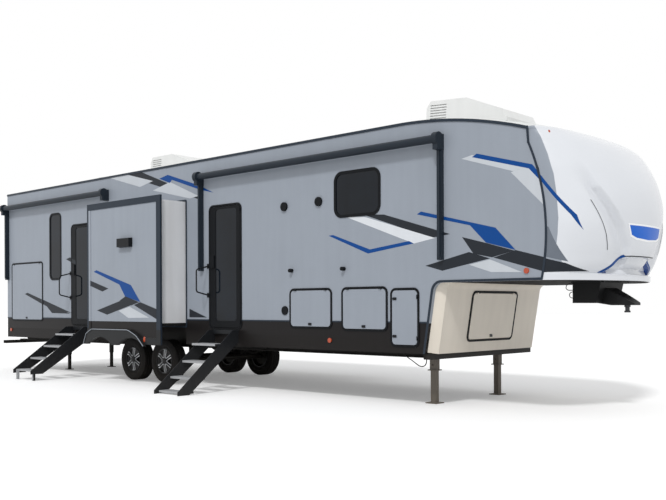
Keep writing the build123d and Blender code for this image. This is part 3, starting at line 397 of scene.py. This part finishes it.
def cap_point(across, z):
    """Point of the cap's skin: across runs from 0 at the seam to 1 at the nose."""
    nose, wide, power = eased(z)
    nose += lip_out * (1 - soft((z - lip_top) / lip_ease))
    seam = between(cap_seam, z)
    turn = across * pi / 2
    x = seam + (nose - seam) * max(sin(turn), 0) ** (2 / power)
    y = wide * max(cos(turn), 0) ** (2 / power)
    y1, y2 = between(scoop_outer, z), between(scoop_inner, z)
    share = (y1 - y) / (y1 - y2)
    if 0 < share < scoop_back:
        deep = scoop_deep * soft((scoop_head - z) / head_fade) * soft((z - scoop_foot) / foot_fade)
        back = soft((scoop_back - share) / (scoop_back - scoop_floor))
        x -= deep * (soft(share) if share < scoop_floor else back)
    return Vector((x, y, z))


# share of the grid's rows: height, so that the rows lie closest at the lip and the crown
heights = [(0.0, 0.277), (0.013, 0.279), (0.047, 0.334), (0.067, 0.342), (0.08, 0.354), (0.63, 1.80),
           (0.76, 1.96), (1.0, 2.0638)]
bm = bmesh.new()
bmesh.ops.create_grid(bm, x_segments=200, y_segments=150, size=1)
for vert in bm.verts:
    z = between(heights, (vert.co.y + 1) / 2)
    place = cap_point(1 - abs(vert.co.x), z)
    place.y = -place.y if vert.co.x < 0 else place.y
    vert.co = place
recess_top, recess_foot = 0.540, 0.356
recess_slope, recess_deep = 0.03, 0.045
chin_top, chin_back = 0.8, -0.2
top_half, foot_half = 0.315, 0.60
recess = [(-top_half, recess_top), (top_half, recess_top), (foot_half, recess_foot), (-foot_half, recess_foot)]
for (y0, z0), (y1, z1) in zip(recess, recess[1:] + recess[:1]):
    near = [f for f in bm.faces
            if f.calc_center_median().z < chin_top and f.calc_center_median().x > chin_back]
    cut = near + list({e for f in near for e in f.edges}) + list({v for f in near for v in f.verts})
    bmesh.ops.bisect_plane(bm, geom=cut, dist=1e-5, plane_co=(0, y0, z0), plane_no=(0, z1 - z0, y0 - y1))


def in_recess(point):
    """True inside the recess's outline, seen from the front."""
    return all((z1 - z0) * (point.y - y0) + (y0 - y1) * (point.z - z0) > 0
               for (y0, z0), (y1, z1) in zip(recess, recess[1:] + recess[:1])) and point.x > chin_back


sunk = [f for f in bm.faces if in_recess(f.calc_center_median())]
bm.normal_update()
if sum(f.normal.x for f in sunk) < 0:
    bmesh.ops.reverse_faces(bm, faces=bm.faces[:])
flare, drop = foot_half - top_half, recess_top - recess_foot
ring = bmesh.ops.inset_region(bm, faces=sunk, thickness=recess_slope, depth=-recess_deep,
                              use_even_offset=True)["faces"]
for face in bm.faces:
    face.smooth = True
for face in ring:
    face.smooth = False
    middle = face.calc_center_median()
    to_slant = ((recess_top - middle.z) * flare + (top_half - abs(middle.y)) * drop) / hypot(flare, drop)
    face.material_index = 1 if abs(to_slant) < min(middle.z - recess_foot, recess_top - middle.z) else 0
cap = linked(bm, "moulded_cap")
cap.data.materials.append(cap_paint)
cap.data.materials.append(finish("chin_blue", "#123f86", 0.3, coat=0.4, dust=0))
wall_of_cap = cap.modifiers.new("thickness", "SOLIDIFY")
wall_of_cap.thickness = cap_wall
wall_of_cap.offset = -1
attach(cap, "trailer")
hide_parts("front_cap")

# Deck under the cap: plywood board under the raised front, with the underbelly sheet over it, cut
# back to the inner side of the cap's skin.
deck_z = 0.31
cuts = 25
bm = bmesh.new()
bm.from_mesh(nodes["upper_deck"].data)
bmesh.ops.remove_doubles(bm, verts=bm.verts, dist=1e-5)
for step in range(2, cuts):
    x0, y0 = cap_point(step / cuts, deck_z).xy
    x1, y1 = cap_point((step + 1) / cuts, deck_z).xy
    for side in (-1, 1):
        out = Vector((y0 - y1, (x1 - x0) * side, 0)).normalized()
        skin = Vector((x0, y0 * side, 0)) - out * cap_wall
        cut = bmesh.ops.bisect_plane(bm, geom=bm.verts[:] + bm.edges[:] + bm.faces[:], dist=1e-5,
                                     plane_co=skin, plane_no=out, clear_outer=True)
        rim = [e for e in cut["geom_cut"] if isinstance(e, bmesh.types.BMEdge)]
        bmesh.ops.holes_fill(bm, edges=rim)
deck = linked(bm, "deck_board")
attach(deck, "trailer")
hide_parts("upper_deck")

# Bulkhead: off-white moulded glass fibre that rakes back under the raised front, joined to the deck
# above and to the skirts below; its hatch matches.
dress(finish("bulkhead_gelcoat", "#e0d8cb", 0.35, coat=0.3, patches=0.04, streaks=0.05, dust=0.25),
      "front_bulkhead")

# Floor and deck: dark underbelly sheet, stapled up under the floor and the raised front, soiled by
# the road.
underbelly = finish("underbelly", "#1c1c1c", 0.7, dust=0.3, grain=180.0, bump=0.1, gloss=0.1)
dress(underbelly, "main_floor")
deck.data.materials.clear()
deck.data.materials.append(underbelly)

# Mouldings: slate aluminium extrusions screwed along the roof edge, the belt and the cap seam, and
# black ones round the windows, hatches and slide-out openings.
slate = finish("slate_moulding", "#28313c", 0.38, dust=0.05, grain=700.0, gloss=0.2)
dress(slate, "edge_trims")
black_trim = finish("black_moulding", "#131518", 0.4, dust=0.03, grain=700.0, gloss=0.1)
dress(black_trim, "opening_rings", "window_frames", "wall_fittings")

# Heads of the cap seam: the seam's slate moulding carried on up to the drip rail on both sides,
# screwed through the cap's flange into the wall.
head_top, head_foot = (-0.5915, 1.978), (-0.5765, 1.792)
head_half = 0.0125
head_inner, head_outer = 1.217, 1.2305
for side, word in ((-1, "near"), (1, "far")):
    bm = bmesh.new()
    for vert in bmesh.ops.create_cube(bm, size=2)["verts"]:
        x, z = head_top if vert.co.z > 0 else head_foot
        vert.co = (x + vert.co.x * head_half, side * (head_inner if vert.co.y < 0 else head_outer), z)
    bmesh.ops.recalc_face_normals(bm, faces=bm.faces)
    bmesh.ops.bevel(bm, geom=bm.edges[:], offset=0.003, offset_type="OFFSET", segments=2, profile=0.5,
                    affect="EDGES", material=-1)
    head = linked(bm, f"seam_head_{word}")
    head.data.materials.append(slate)
    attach(head, "trailer")

# Hatches: leaves of the same wall sheet in slim black rims, with black paddle latches; the two front
# ones reach past the belt. The one in the bulkhead is off-white gelcoat as the bulkhead is.
latch_deep = 0.0085
for name in ("kitchen", "storage_right", "service_right", "gas_right", "storage_left", "gas_left"):
    low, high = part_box(f"hatch_{name}")
    latch = [(-far, high.y - latch_deep, -far), (far, far, far), "#15171a"]
    if "left" not in name:
        latch = [(-far, -far, -far), (far, low.y + latch_deep, far), "#15171a"]
    dress(finish(f"hatch_sheet_{name}", wall_grey, 0.34, zones=[latch], gloss=0.15, dust=0.1,
                 patches=0.03, streaks=0.03, grain=900.0, bump=0.01), f"hatch_{name}")
front_latch = ((-far, -0.042, -0.405), (far, 0.022, -0.366), "#15171a")
dress(finish("hatch_gelcoat", "#e0d8cb", 0.35, zones=[front_latch], coat=0.3, dust=0.2), "hatch_front")

# Entry doors and glass: black leaves in black frames, glazed with dark privacy glass as the windows
# are, so dark that the room hardly shows.
dress(black_trim, "entry_door_front", "entry_door_rear")
# Painted reflection: strong patches and streaks mottle the dark glass's colour.
glass = finish("privacy_glass_painted_reflection", "#0c131b", 0.06, patches=0.6, streaks=0.3, dust=0, grain=2.0, bump=0.02,
               gloss=0.25)
dress(glass, "door_glass_front", "door_glass_rear", "window_glass")

# Slide-out rooms: white skinned boxes; the outer faces have a slate border, the grey field of the
# walls above the belt line and black sheet below it. The near one carries a black fender and lamp.
border = 0.104
face_skin = -1.7335
fender_black = ((-far, -far, -far), (far, face_skin, -0.35), "#232527")
porch_lamp = ((-7.69, -far, 0.9), (-7.32, face_skin, 1.14), "#15171a")
for side in ("right", "left"):
    low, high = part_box(f"slide_{side}_face")
    zones = [((-far, -far, -far), (far, far, belt_z - 0.02), skirt_black),
             ((-far, -far, -far), (low.x + border, far, far), "#28313c"),
             ((high.x - border, -far, -far), (far, far, far), "#28313c"),
             ((-far, -far, high.z - border), (far, far, far), "#28313c")]
    if side == "right":
        zones += [fender_black, porch_lamp]
    dress(finish(f"slide_face_{side}", wall_grey, 0.33, zones=zones, gloss=0.15, dust=0.1, patches=0.03,
                 grain=900.0, bump=0.01), f"slide_{side}_face")
room_foot = ((-far, -far, -far), (far, far, -0.25), "#1c1c1d")
dress(finish("slide_skin", "#dfe0e2", 0.4, zones=[room_foot], coat=0.2, streaks=0.05, dust=0.1,
             grain=900.0), "slide_left_room", "slide_right_room")
dress(finish("wear_bar", "#3a3c3f", 0.6, dust=0.3), "slide_bars")

# Running gear and chassis: welded steel in black paint, grained and dusty from the road; the landing
# legs are dust-brown and the king pin is bare steel.
chassis = finish("chassis_paint", "#141516", 0.5, dust=0.3, grain=220.0, bump=0.1, patches=0.12, gloss=0.2)
dress(chassis, "frame_rails", "cross_members", "outriggers", "rear_bumper", "pin_box", "axles",
      "leaf_springs", "stabilizer_jacks")
dress(finish("leg_paint", "#6d675f", 0.5, dust=0.4, grain=240.0, bump=0.08, patches=0.1), "landing_legs")
dress(finish("pin_steel", "#4a4b4d", 0.35, metallic=1.0, dust=0.1), "king_pin")

# Wheels: black alloy rims, their six split spokes faced in bright machined metal with a nut between
# each pair, and trailer tyres with three grooves round the tread and cross cuts between its blocks.
rim_black = finish("rim_black", "#0c0d0f", 0.3, dust=0.05, gloss=0.3)
machined = finish("machined_alloy", "#c9cbce", 0.28, metallic=0.85, dust=0.05, grain=900.0, bump=0.02)
tyre_rubber = finish("tyre_rubber", "#17181a", 0.75, dust=0.2, grain=500.0, bump=0.1, gloss=0.15)
hub_black = finish("hub_cap", "#101113", 0.3, dust=0.05)
# half of the tyre's section, from its bead round the sidewall to the middle: across, radius
tyre_profile = [(-0.0755, 0.209), (-0.0985, 0.232), (-0.1075, 0.262), (-0.1085, 0.268), (-0.1085, 0.276),
                (-0.1075, 0.282), (-0.106, 0.305), (-0.098, 0.330), (-0.089, 0.3435), (-0.052, 0.344),
                (-0.051, 0.338), (-0.044, 0.338), (-0.043, 0.344), (-0.006, 0.344), (-0.005, 0.338)]
tread_radius = 0.3432
block_cut, block_high = 0.0028, 0.0055
spokes_round = 6
spoke_deep = 0.015
foot_from, foot_deep = 0.18, 0.013
bar_over, bar_under = 0.005, 0.006
disc_slope = 0.127
nut_circle = 0.062
nut, nut_long, nut_deep = 0.0095, 0.02, 0.012
bright_inner, bright_outer = 0.034, 0.045
# a spoke's bars and feet: reach along it, width at the hub's end, width at the rim's end
bars = [((0.050, 0.176), (0.014, 0.022), (0.016, 0.030)),
        ((0.050, 0.176), (-0.022, -0.014), (-0.030, -0.016)),
        ((0.172, 0.196), (-0.030, -0.012), (-0.034, -0.010)),
        ((0.172, 0.196), (0.012, 0.030), (0.010, 0.034))]
# hub cap's section: depth below the rim's face, radius
hub_profile = ((0.020, 0.046), (0.004, 0.044), (0.0005, 0.040), (0.002, 0.034), (-0.001, 0.030),
               (-0.003, 0.015), (-0.003, 0.0))
for end in ("front", "rear"):
    for side in ("left", "right"):
        wheel = f"wheel_{end}_{side}"
        low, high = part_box(f"rim_{end}_{side}")
        hub_x, hub_z = (low.x + high.x) / 2, (low.z + high.z) / 2
        sign = 1 if side == "left" else -1
        out = high.y if sign > 0 else -low.y
        dress(rim_black, f"rim_{end}_{side}")

        low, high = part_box(f"tyre_{end}_{side}")
        middle = (low.y + high.y) / 2
        bm = bmesh.new()
        half = [bm.verts.new((hub_x, middle + y, hub_z + r)) for y, r in tyre_profile]
        half += [bm.verts.new((hub_x, middle - y, hub_z + r)) for y, r in reversed(tyre_profile)]
        rungs = [bm.edges.new(pair) for pair in zip(half, half[1:])]
        bmesh.ops.spin(bm, geom=half + rungs, cent=(hub_x, middle, hub_z), axis=(0, 1, 0), angle=2 * pi,
                       steps=84, use_merge=True)
        bmesh.ops.remove_doubles(bm, verts=bm.verts, dist=1e-5)
        bmesh.ops.recalc_face_normals(bm, faces=bm.faces)
        tread = [f for f in bm.faces
                 if all(hypot(v.co.x - hub_x, v.co.z - hub_z) > tread_radius for v in f.verts)]
        bmesh.ops.inset_individual(bm, faces=tread, thickness=block_cut, depth=block_high)
        for face in bm.faces:
            face.smooth = True
        for edge in bm.edges:
            edge.smooth = edge.calc_face_angle(0) < 0.5
        tyre = linked(bm, f"{wheel}_tyre")
        tyre.data.materials.append(tyre_rubber)
        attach(tyre, wheel)
        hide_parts(f"tyre_{end}_{side}")

        # spoke faces: two bars that part toward the rim, and a foot on the rim at each one's end
        bm = bmesh.new()
        for turn in range(spokes_round):
            angle = 2 * pi / spokes_round * (turn + 0.5)
            for reach, near_ends, far_ends in bars:
                for vert in bmesh.ops.create_cube(bm, size=2)["verts"]:
                    r = reach[vert.co.x > 0]
                    across = (far_ends if vert.co.x > 0 else near_ends)[vert.co.y > 0]
                    deep = spoke_deep + (r - nut_circle) * disc_slope if r < foot_from else foot_deep
                    y = out - deep + (bar_over if vert.co.z > 0 else -bar_under)
                    vert.co = (hub_x + r * cos(angle) - across * sin(angle), sign * y,
                               hub_z + r * sin(angle) + across * cos(angle))
            between_spokes = angle + pi / spokes_round
            nut_at = Matrix.Translation((hub_x + nut_circle * cos(between_spokes), sign * (out - nut_deep),
                                         hub_z + nut_circle * sin(between_spokes)))
            bmesh.ops.create_cone(bm, cap_ends=True, segments=6, radius1=nut, radius2=nut * 0.8,
                                  depth=nut_long, matrix=nut_at @ Matrix.Rotation(-sign * pi / 2, 4, "X"))
        bmesh.ops.recalc_face_normals(bm, faces=bm.faces)
        long_edges = [e for e in bm.edges if e.calc_length() > 0.02]
        bmesh.ops.bevel(bm, geom=long_edges, offset=0.0012, offset_type="OFFSET", segments=1, profile=0.5,
                        affect="EDGES", material=-1)
        spokes = linked(bm, f"{wheel}_spokes")
        spokes.data.materials.append(machined)
        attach(spokes, wheel)

        # hub cap: a turned black cup with a bright ring
        bm = bmesh.new()
        cup = [bm.verts.new((hub_x, sign * (out - deep), hub_z + r)) for deep, r in hub_profile]
        rungs = [bm.edges.new(pair) for pair in zip(cup, cup[1:])]
        bmesh.ops.spin(bm, geom=cup + rungs, cent=(hub_x, 0, hub_z), axis=(0, 1, 0), angle=2 * pi, steps=32,
                       use_merge=True)
        bmesh.ops.remove_doubles(bm, verts=bm.verts, dist=1e-5)
        bmesh.ops.recalc_face_normals(bm, faces=bm.faces)
        if sum(f.normal.y * f.calc_area() for f in bm.faces) * sign < 0:
            bmesh.ops.reverse_faces(bm, faces=bm.faces[:])
        for face in bm.faces:
            face.smooth = True
            middle = face.calc_center_median()
            away = hypot(middle.x - hub_x, middle.z - hub_z)
            face.material_index = 0 if bright_inner < away < bright_outer else 1
        hub = linked(bm, f"{wheel}_cap")
        hub.data.materials.append(machined)
        hub.data.materials.append(hub_black)
        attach(hub, wheel)

# Steps: black steel stringers with bright aluminium treads between them, hung from the doorway and
# standing on the ground.
stringer = 0.011
tread_from = 1.27
for name in ("front", "rear"):
    low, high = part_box(f"entry_steps_{name}")
    treads = ((low.x + stringer, -far, -far), (high.x - stringer, -tread_from, far), "#a7a9ac")
    dress(finish(f"steps_{name}", "#1d2024", 0.4, zones=[treads], dust=0.15, grain=500.0, gloss=0.2),
          f"entry_steps_{name}")

# Awnings: slate aluminium arms and end castings on the wall, with the fabric rolled up inside the
# tube between them.
dress(finish("awning_castings", "#222a33", 0.4, dust=0.05, grain=600.0, gloss=0.2),
      "awning_front", "awning_rear")

# Roof units and handles: air conditioners and vents under white moulded plastic shrouds, screwed to
# the roof, and grab handles of black tube beside the doors.
dress(finish("moulded_plastic", "#e4e5e4", 0.5, patches=0.05, dust=0, grain=500.0, bump=0.05),
      "air_conditioners", "roof_vents")
dress(finish("handle_tube", "#15171a", 0.4, dust=0.1, gloss=0.3), "grab_handles")

# Lamps: clear moulded lenses, amber on the sides and red at the tail, each fixed on the face of its
# wall.
tail = ((-far, -far, -far), (-12.38, far, far), "#b3121a")
dress(finish("lamp_lens", "#b03d08", 0.12, zones=[tail], coat=1.0, dust=0, patches=0.1, grain=80.0,
             bump=0.2), "marker_lamps")

# Fender bead and small lamps: a raised bead along the fender's edge, pale grey as a painted highlight
# on its lip, an amber side lamp beside it, and an amber clearance lamp high on each shoulder of the cap.
lens_deep = 0.018
bead_line = bpy.data.curves.new("fender_bead_line", "CURVE")
bead_line.dimensions = "3D"
bead_line.bevel_depth = 0.006
bead_line.bevel_resolution = 2
spline = bead_line.splines.new("POLY")
bead_y = -1.787
edge_of_fender = [(-8.684, -0.61), (-8.598, -0.437), (-8.51, -0.395), (-8.43, -0.361), (-7.42, -0.361),
                  (-7.36, -0.375), (-7.21, -0.431), (-7.15, -0.464), (-6.984, -0.606)]
spline.points.add(len(edge_of_fender) - 1)
for point, (x, z) in zip(spline.points, edge_of_fender):
    point.co = (x, bead_y, z, 1)
# Pale grey: a painted highlight along the fender's raised lip.
bead_line.materials.append(finish("fender_lip_painted_highlight", "#9aa1aa", 0.4, dust=0.1))
bead = bpy.data.objects.new("fender_bead", bead_line)
bpy.context.scene.collection.objects.link(bead)
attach(bead, "slide_right")

lens = finish("side_lens", "#b03d08", 0.15, coat=0.5, dust=0, grain=200.0, bump=0.1)
for name, body, centre, sizes, normal in (
        ("slide_lamp", "slide_right", (-7.02, -1.732, -0.505), (0.045, 0.032), (0, -1, 0)),
        ("clearance_lamp_near", "trailer", (-0.40, -1.085, 1.90), (0.030, 0.016), (0.45, -0.75, 0.5)),
        ("clearance_lamp_far", "trailer", (-0.40, 1.085, 1.90), (0.030, 0.016), (0.45, 0.75, 0.5))):
    bm = bmesh.new()
    turned = Vector(normal).to_track_quat("Z", "X").to_matrix().to_4x4()
    domed = Matrix.Diagonal((sizes[0], sizes[1], lens_deep, 1))
    bmesh.ops.create_uvsphere(bm, u_segments=24, v_segments=12, radius=1,
                              matrix=Matrix.Translation(centre) @ turned @ domed)
    for face in bm.faces:
        face.smooth = True
    lamp = linked(bm, name)
    lamp.data.materials.append(lens)
    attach(lamp, body)

# Vinyl graphics: cut film on the walls, hatches, slide-out face and cap. Each shape is cut out of
# the outer face that carries it, so that it bends, opens and moves with that piece.
film_lift = 0.0007
film_step = 0.00003
grazing = 0.25


def film(name, source, body, outlines, material, lift, facing=(0, -1, 0)):
    """Film on a mesh's outer face, inside convex outlines that are seen along facing."""
    facing = Vector(facing)
    flat = [i for i in range(3) if abs(facing[i]) < 0.5]
    made = bmesh.new()
    for corners in outlines:
        bm = bmesh.new()
        bm.from_mesh(source)
        bmesh.ops.remove_doubles(bm, verts=bm.verts, dist=1e-5)
        turned_away = [f for f in bm.faces if f.normal.dot(facing) < grazing]
        bmesh.ops.delete(bm, geom=turned_away, context="FACES")
        middle = Vector([sum(c[i] for c in corners) / len(corners) for i in (0, 1)])
        for (u0, v0), (u1, v1) in zip(corners, corners[1:] + corners[:1]):
            edge_point, normal = Vector(), Vector()
            edge_point[flat[0]], edge_point[flat[1]] = u0, v0
            normal[flat[0]], normal[flat[1]] = v1 - v0, u0 - u1
            if normal[flat[0]] * (middle.x - u0) + normal[flat[1]] * (middle.y - v0) > 0:
                normal.negate()
            bmesh.ops.bisect_plane(bm, geom=bm.verts[:] + bm.edges[:] + bm.faces[:], dist=1e-6,
                                   plane_co=edge_point, plane_no=normal, clear_outer=True)
        bm.normal_update()
        for vert, rise in [(v, v.normal * lift) for v in bm.verts]:
            vert.co += rise
        part = bpy.data.meshes.new("part")
        bm.to_mesh(part)
        bm.free()
        made.from_mesh(part)
        bpy.data.meshes.remove(part)
    if not made.faces:
        made.free()
        return None
    piece = linked(made, name)
    for face in piece.data.polygons:
        face.use_smooth = source == cap.data
    piece.data.materials.append(material)
    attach(piece, body)
    return piece


def vinyl(name, colour, roughness=0.3):
    """Cut film: an even colour with little dust."""
    return finish(name, colour, roughness, patches=0.03, streaks=0.03, dust=0.05, grain=900.0, bump=0.01,
                  gloss=0.15)


blue = vinyl("film_blue", "#0b4488")
charcoal = vinyl("film_charcoal", "#272b31")
silver = vinyl("film_silver", "#c2c7cd")
white = vinyl("film_white", "#d8dce1")
grey_band = vinyl("film_grey", "#959ca6")
bodies = {"wall_right": "trailer", "hatch_kitchen": "hatch_kitchen", "entry_door_rear": "door_rear",
          "slide_right_face": "slide_right", "wall_left": "trailer",
          "hatch_storage_left": "hatch_storage_left"}
# name, material, layer, outline corners, nodes that carry it
graphics = [
    ("upper_blue_band", blue, 2,
     [(-1.315, 1.715), (-1.25, 1.748), (-0.53, 1.545), (-0.572, 1.505)], ("wall_right",)),
    ("upper_blue_fall", blue, 2,
     [(-0.572, 1.505), (-0.53, 1.545), (-0.38, 1.365), (-0.424, 1.35)], ("wall_right",)),
    ("upper_silver_band", silver, 1,
     [(-1.461, 1.712), (-1.315, 1.74), (-0.57, 1.53), (-0.766, 1.494)], ("wall_right",)),
    ("upper_silver_fall", silver, 1,
     [(-0.80, 1.487), (-0.57, 1.53), (-0.36, 1.30), (-0.36, 1.06)], ("wall_right",)),
    ("middle_dark_band", charcoal, 1,
     [(-2.982, 1.175), (-2.633, 1.149), (-1.627, 0.846), (-1.904, 0.814)], ("wall_right",)),
    ("middle_white_band", white, 1,
     [(-3.275, 1.164), (-2.948, 1.14), (-1.845, 0.811), (-2.161, 0.761)], ("wall_right",)),
    ("blue_vee_left", blue, 1,
     [(-3.586, 0.936), (-3.508, 0.942), (-2.87, 0.722), (-2.9, 0.671)], ("wall_right",)),
    ("blue_vee_right", blue, 1,
     [(-2.9, 0.671), (-2.87, 0.722), (-2.238, 0.796), (-2.166, 0.762)], ("wall_right",)),
    ("blue_bar", blue, 2, [(-2.115, 1.113), (-2.053, 1.143), (-1.002, 0.882), (-1.345, 0.93)], ("wall_right",)),
    ("blue_blade", blue, 2, [(-1.345, 0.93), (-1.002, 0.882), (-0.742, 0.618), (-1.13, 0.72)], ("wall_right",)),
    ("dark_slant", charcoal, 1,
     [(-1.989, 0.484), (-1.36, 0.622), (-1.076, 0.537), (-1.739, 0.417)], ("wall_right",)),
    ("dark_upper_run", charcoal, 1,
     [(-1.457, 0.801), (-1.10, 0.708), (-0.76, 0.612), (-1.049, 0.548), (-1.30, 0.60)], ("wall_right",)),
    ("dark_lower_run", charcoal, 1,
     [(-0.742, 0.617), (-0.35, 0.515), (-0.35, 0.36), (-0.427, 0.378), (-1.03, 0.545)], ("wall_right",)),
    ("silver_slant", silver, 1,
     [(-1.361, 0.475), (-1.076, 0.526), (-0.662, 0.37), (-1.063, 0.382)], ("wall_right",)),
    ("rear_dark_band", charcoal, 1,
     [(-8.30, 2.223), (-7.805, 2.223), (-6.30, 1.69), (-6.327, 1.655)], ("wall_right",)),
    ("rear_blue_start", blue, 2,
     [(-7.33, 2.07), (-7.103, 2.108), (-6.95, 2.06), (-7.046, 1.973)], ("wall_right",)),
    ("rear_blue_run", blue, 2,
     [(-7.10, 2.108), (-6.299, 1.862), (-5.969, 1.724), (-6.299, 1.80), (-7.0, 2.02)], ("wall_right",)),
    ("rear_silver_high", silver, 1,
     [(-8.745, 2.222), (-8.206, 2.222), (-7.501, 2.05), (-7.863, 1.986)], ("wall_right",)),
    ("rear_silver_low", silver, 1,
     [(-7.502, 1.895), (-7.046, 1.989), (-6.327, 1.704), (-6.537, 1.683)], ("wall_right",)),
    ("tail_line", charcoal, 1, [(-11.69, 0.26), (-11.59, 0.285), (-10.0, -0.105), (-10.69, -0.04)],
     ("wall_right", "hatch_kitchen", "entry_door_rear")),
    ("tail_blade", charcoal, 2,
     [(-11.003, 0.101), (-10.059, -0.116), (-10.693, -0.107)], ("wall_right", "hatch_kitchen")),
    ("door_slant", charcoal, 1,
     [(-10.189, 0.88), (-10.051, 0.91), (-9.2, 0.64), (-9.2, 0.56)], ("wall_right", "entry_door_rear")),
    ("front_corner_blade", charcoal, 1, [(-6.56, -0.03), (-6.13, -0.164), (-6.56, -0.164)], ("wall_right",)),
    ("slide_blue_line", blue, 1,
     [(-8.442, 0.585), (-8.364, 0.61), (-7.38, 0.346), (-7.70, 0.36)], ("slide_right_face",)),
    ("slide_blue_blade", blue, 1,
     [(-7.70, 0.36), (-7.38, 0.346), (-7.126, 0.077), (-7.54, 0.165)], ("slide_right_face",)),
    ("slide_dark_start", charcoal, 1,
     [(-8.54, 0.44), (-8.013, 0.302), (-8.188, 0.255), (-8.54, 0.352)], ("slide_right_face",)),
    ("slide_dark_slant", charcoal, 1,
     [(-8.35, -0.054), (-7.56, 0.125), (-7.26, 0.055), (-8.05, -0.124)], ("slide_right_face",)),
    ("slide_dark_head", charcoal, 1,
     [(-7.53, 0.17), (-7.16, 0.075), (-7.37, 0.025), (-7.70, 0.10)], ("slide_right_face",)),
    ("slide_dark_run", charcoal, 1,
     [(-7.13, 0.075), (-6.70, -0.035), (-6.70, -0.19), (-7.30, 0.03)], ("slide_right_face",)),
    ("slide_silver", silver, 1,
     [(-7.72, -0.06), (-7.42, 0.005), (-6.90, -0.165), (-7.452, -0.174)], ("slide_right_face",)),
]
for order, (name, material, layer, corners, carriers) in enumerate(graphics):
    for node in carriers:
        film(f"{name}_{node}" if len(carriers) > 1 else name, nodes[node].data, bodies[node], [corners],
             material, film_lift * layer + order * film_step)

# Far-side graphics: the wall's films once more, mirrored, cut out of the far wall and of the large
# hatch in it.
for order, (name, material, layer, corners, carriers) in enumerate(graphics):
    if "wall_right" in carriers:
        for node in ("wall_left", "hatch_storage_left"):
            film(f"{name}_far_{node}", nodes[node].data, bodies[node], [corners], material,
                 film_lift * layer + order * film_step, (0, 1, 0))

# Cap graphics: a grey band along the seam, a blue run, a dim blade and a dark foot on each flank, a
# lamp strip in each scoop, a plain blue plate on the nose, and a line and two bands round the chin.
band_back = -0.7
band_edge = [(-0.52, 1.975), (-0.445, 1.842), (-0.362, 1.646), (-0.289, 1.424), (-0.253, 1.206),
             (-0.232, 0.942), (-0.244, 0.777), (-0.263, 0.652), (-0.230, 0.459)]
cap_shapes = [
    ("cap_band", grey_band, 1, [[(band_back, z0), (x0, z0), (x1, z1), (band_back, z1)]
                                for (x0, z0), (x1, z1) in zip(band_edge, band_edge[1:])]),
    ("cap_blue", blue, 2, [[(-0.43, 1.424), (-0.074, 0.970), (-0.119, 0.970), (-0.43, 1.365)],
                           [(-0.074, 0.970), (-0.034, 0.810), (-0.119, 0.970)]]),
    ("cap_blade", vinyl("film_dim", "#6d747e"), 1.5,
     [[(-0.45, 0.885), (-0.335, 0.85), (-0.185, 0.475), (-0.45, 0.55)]]),
    ("cap_dark", charcoal, 3, [[(-0.45, 0.535), (-0.205, 0.459), (-0.08, 0.373), (-0.45, 0.359)]]),
]
for side, word in ((-1, "near"), (1, "far")):
    for name, material, layer, outlines in cap_shapes:
        film(f"{name}_{word}", cap.data, "trailer", outlines, material, film_lift * layer, (0, side, 0))
half_strip = 0.006
strip = [(0.934, 1.138), (0.879, 1.042), (0.799, 0.899), (0.728, 0.770), (0.668, 0.606)]
lamp_strip = finish("lamp_strip", "#4b4f55", 0.2, coat=0.6, dust=0)
plate = [[(-0.400, 0.888), (0.400, 0.888), (0.356, 0.780), (-0.356, 0.780)],
         [(-0.356, 0.780), (0.356, 0.780), (0.255, 0.752), (0.0, 0.738), (-0.255, 0.752)]]
rim = [[(-0.432, 0.908), (0.432, 0.908), (0.376, 0.760), (-0.376, 0.760)],
       [(-0.376, 0.760), (0.376, 0.760), (0.265, 0.730), (0.0, 0.714), (-0.265, 0.730)]]
film("nose_plate_rim", cap.data, "trailer", rim, vinyl("film_bright", "#f4f6f8"), 0.001, (1, 0, 0))
film("chin_line", cap.data, "trailer", [[(-0.335, 0.553), (0.335, 0.553), (0.318, 0.5415), (-0.318, 0.5415)]],
     charcoal, 0.0015, (1, 0, 0))
film("nose_plate", cap.data, "trailer", plate, vinyl("film_bright_blue", "#1663c9"), 0.002, (1, 0, 0))
for side, word in ((-1, "near"), (1, "far")):
    chin = [(0.672, 0.360), (0.602, 0.360), (0.316, 0.542), (0.338, 0.566)]
    film(f"chin_band_{word}", cap.data, "trailer", [[(side * y, z) for y, z in chin]], blue, 0.0012, (1, 0, 0))
    film(f"lamp_strip_{word}", cap.data, "trailer",
         [[(side * (y0 - half_strip), z0), (side * (y0 + half_strip), z0),
           (side * (y1 + half_strip), z1), (side * (y1 - half_strip), z1)]
          for (y0, z0), (y1, z1) in zip(strip, strip[1:])], lamp_strip, 0.003, (1, 0, 0))
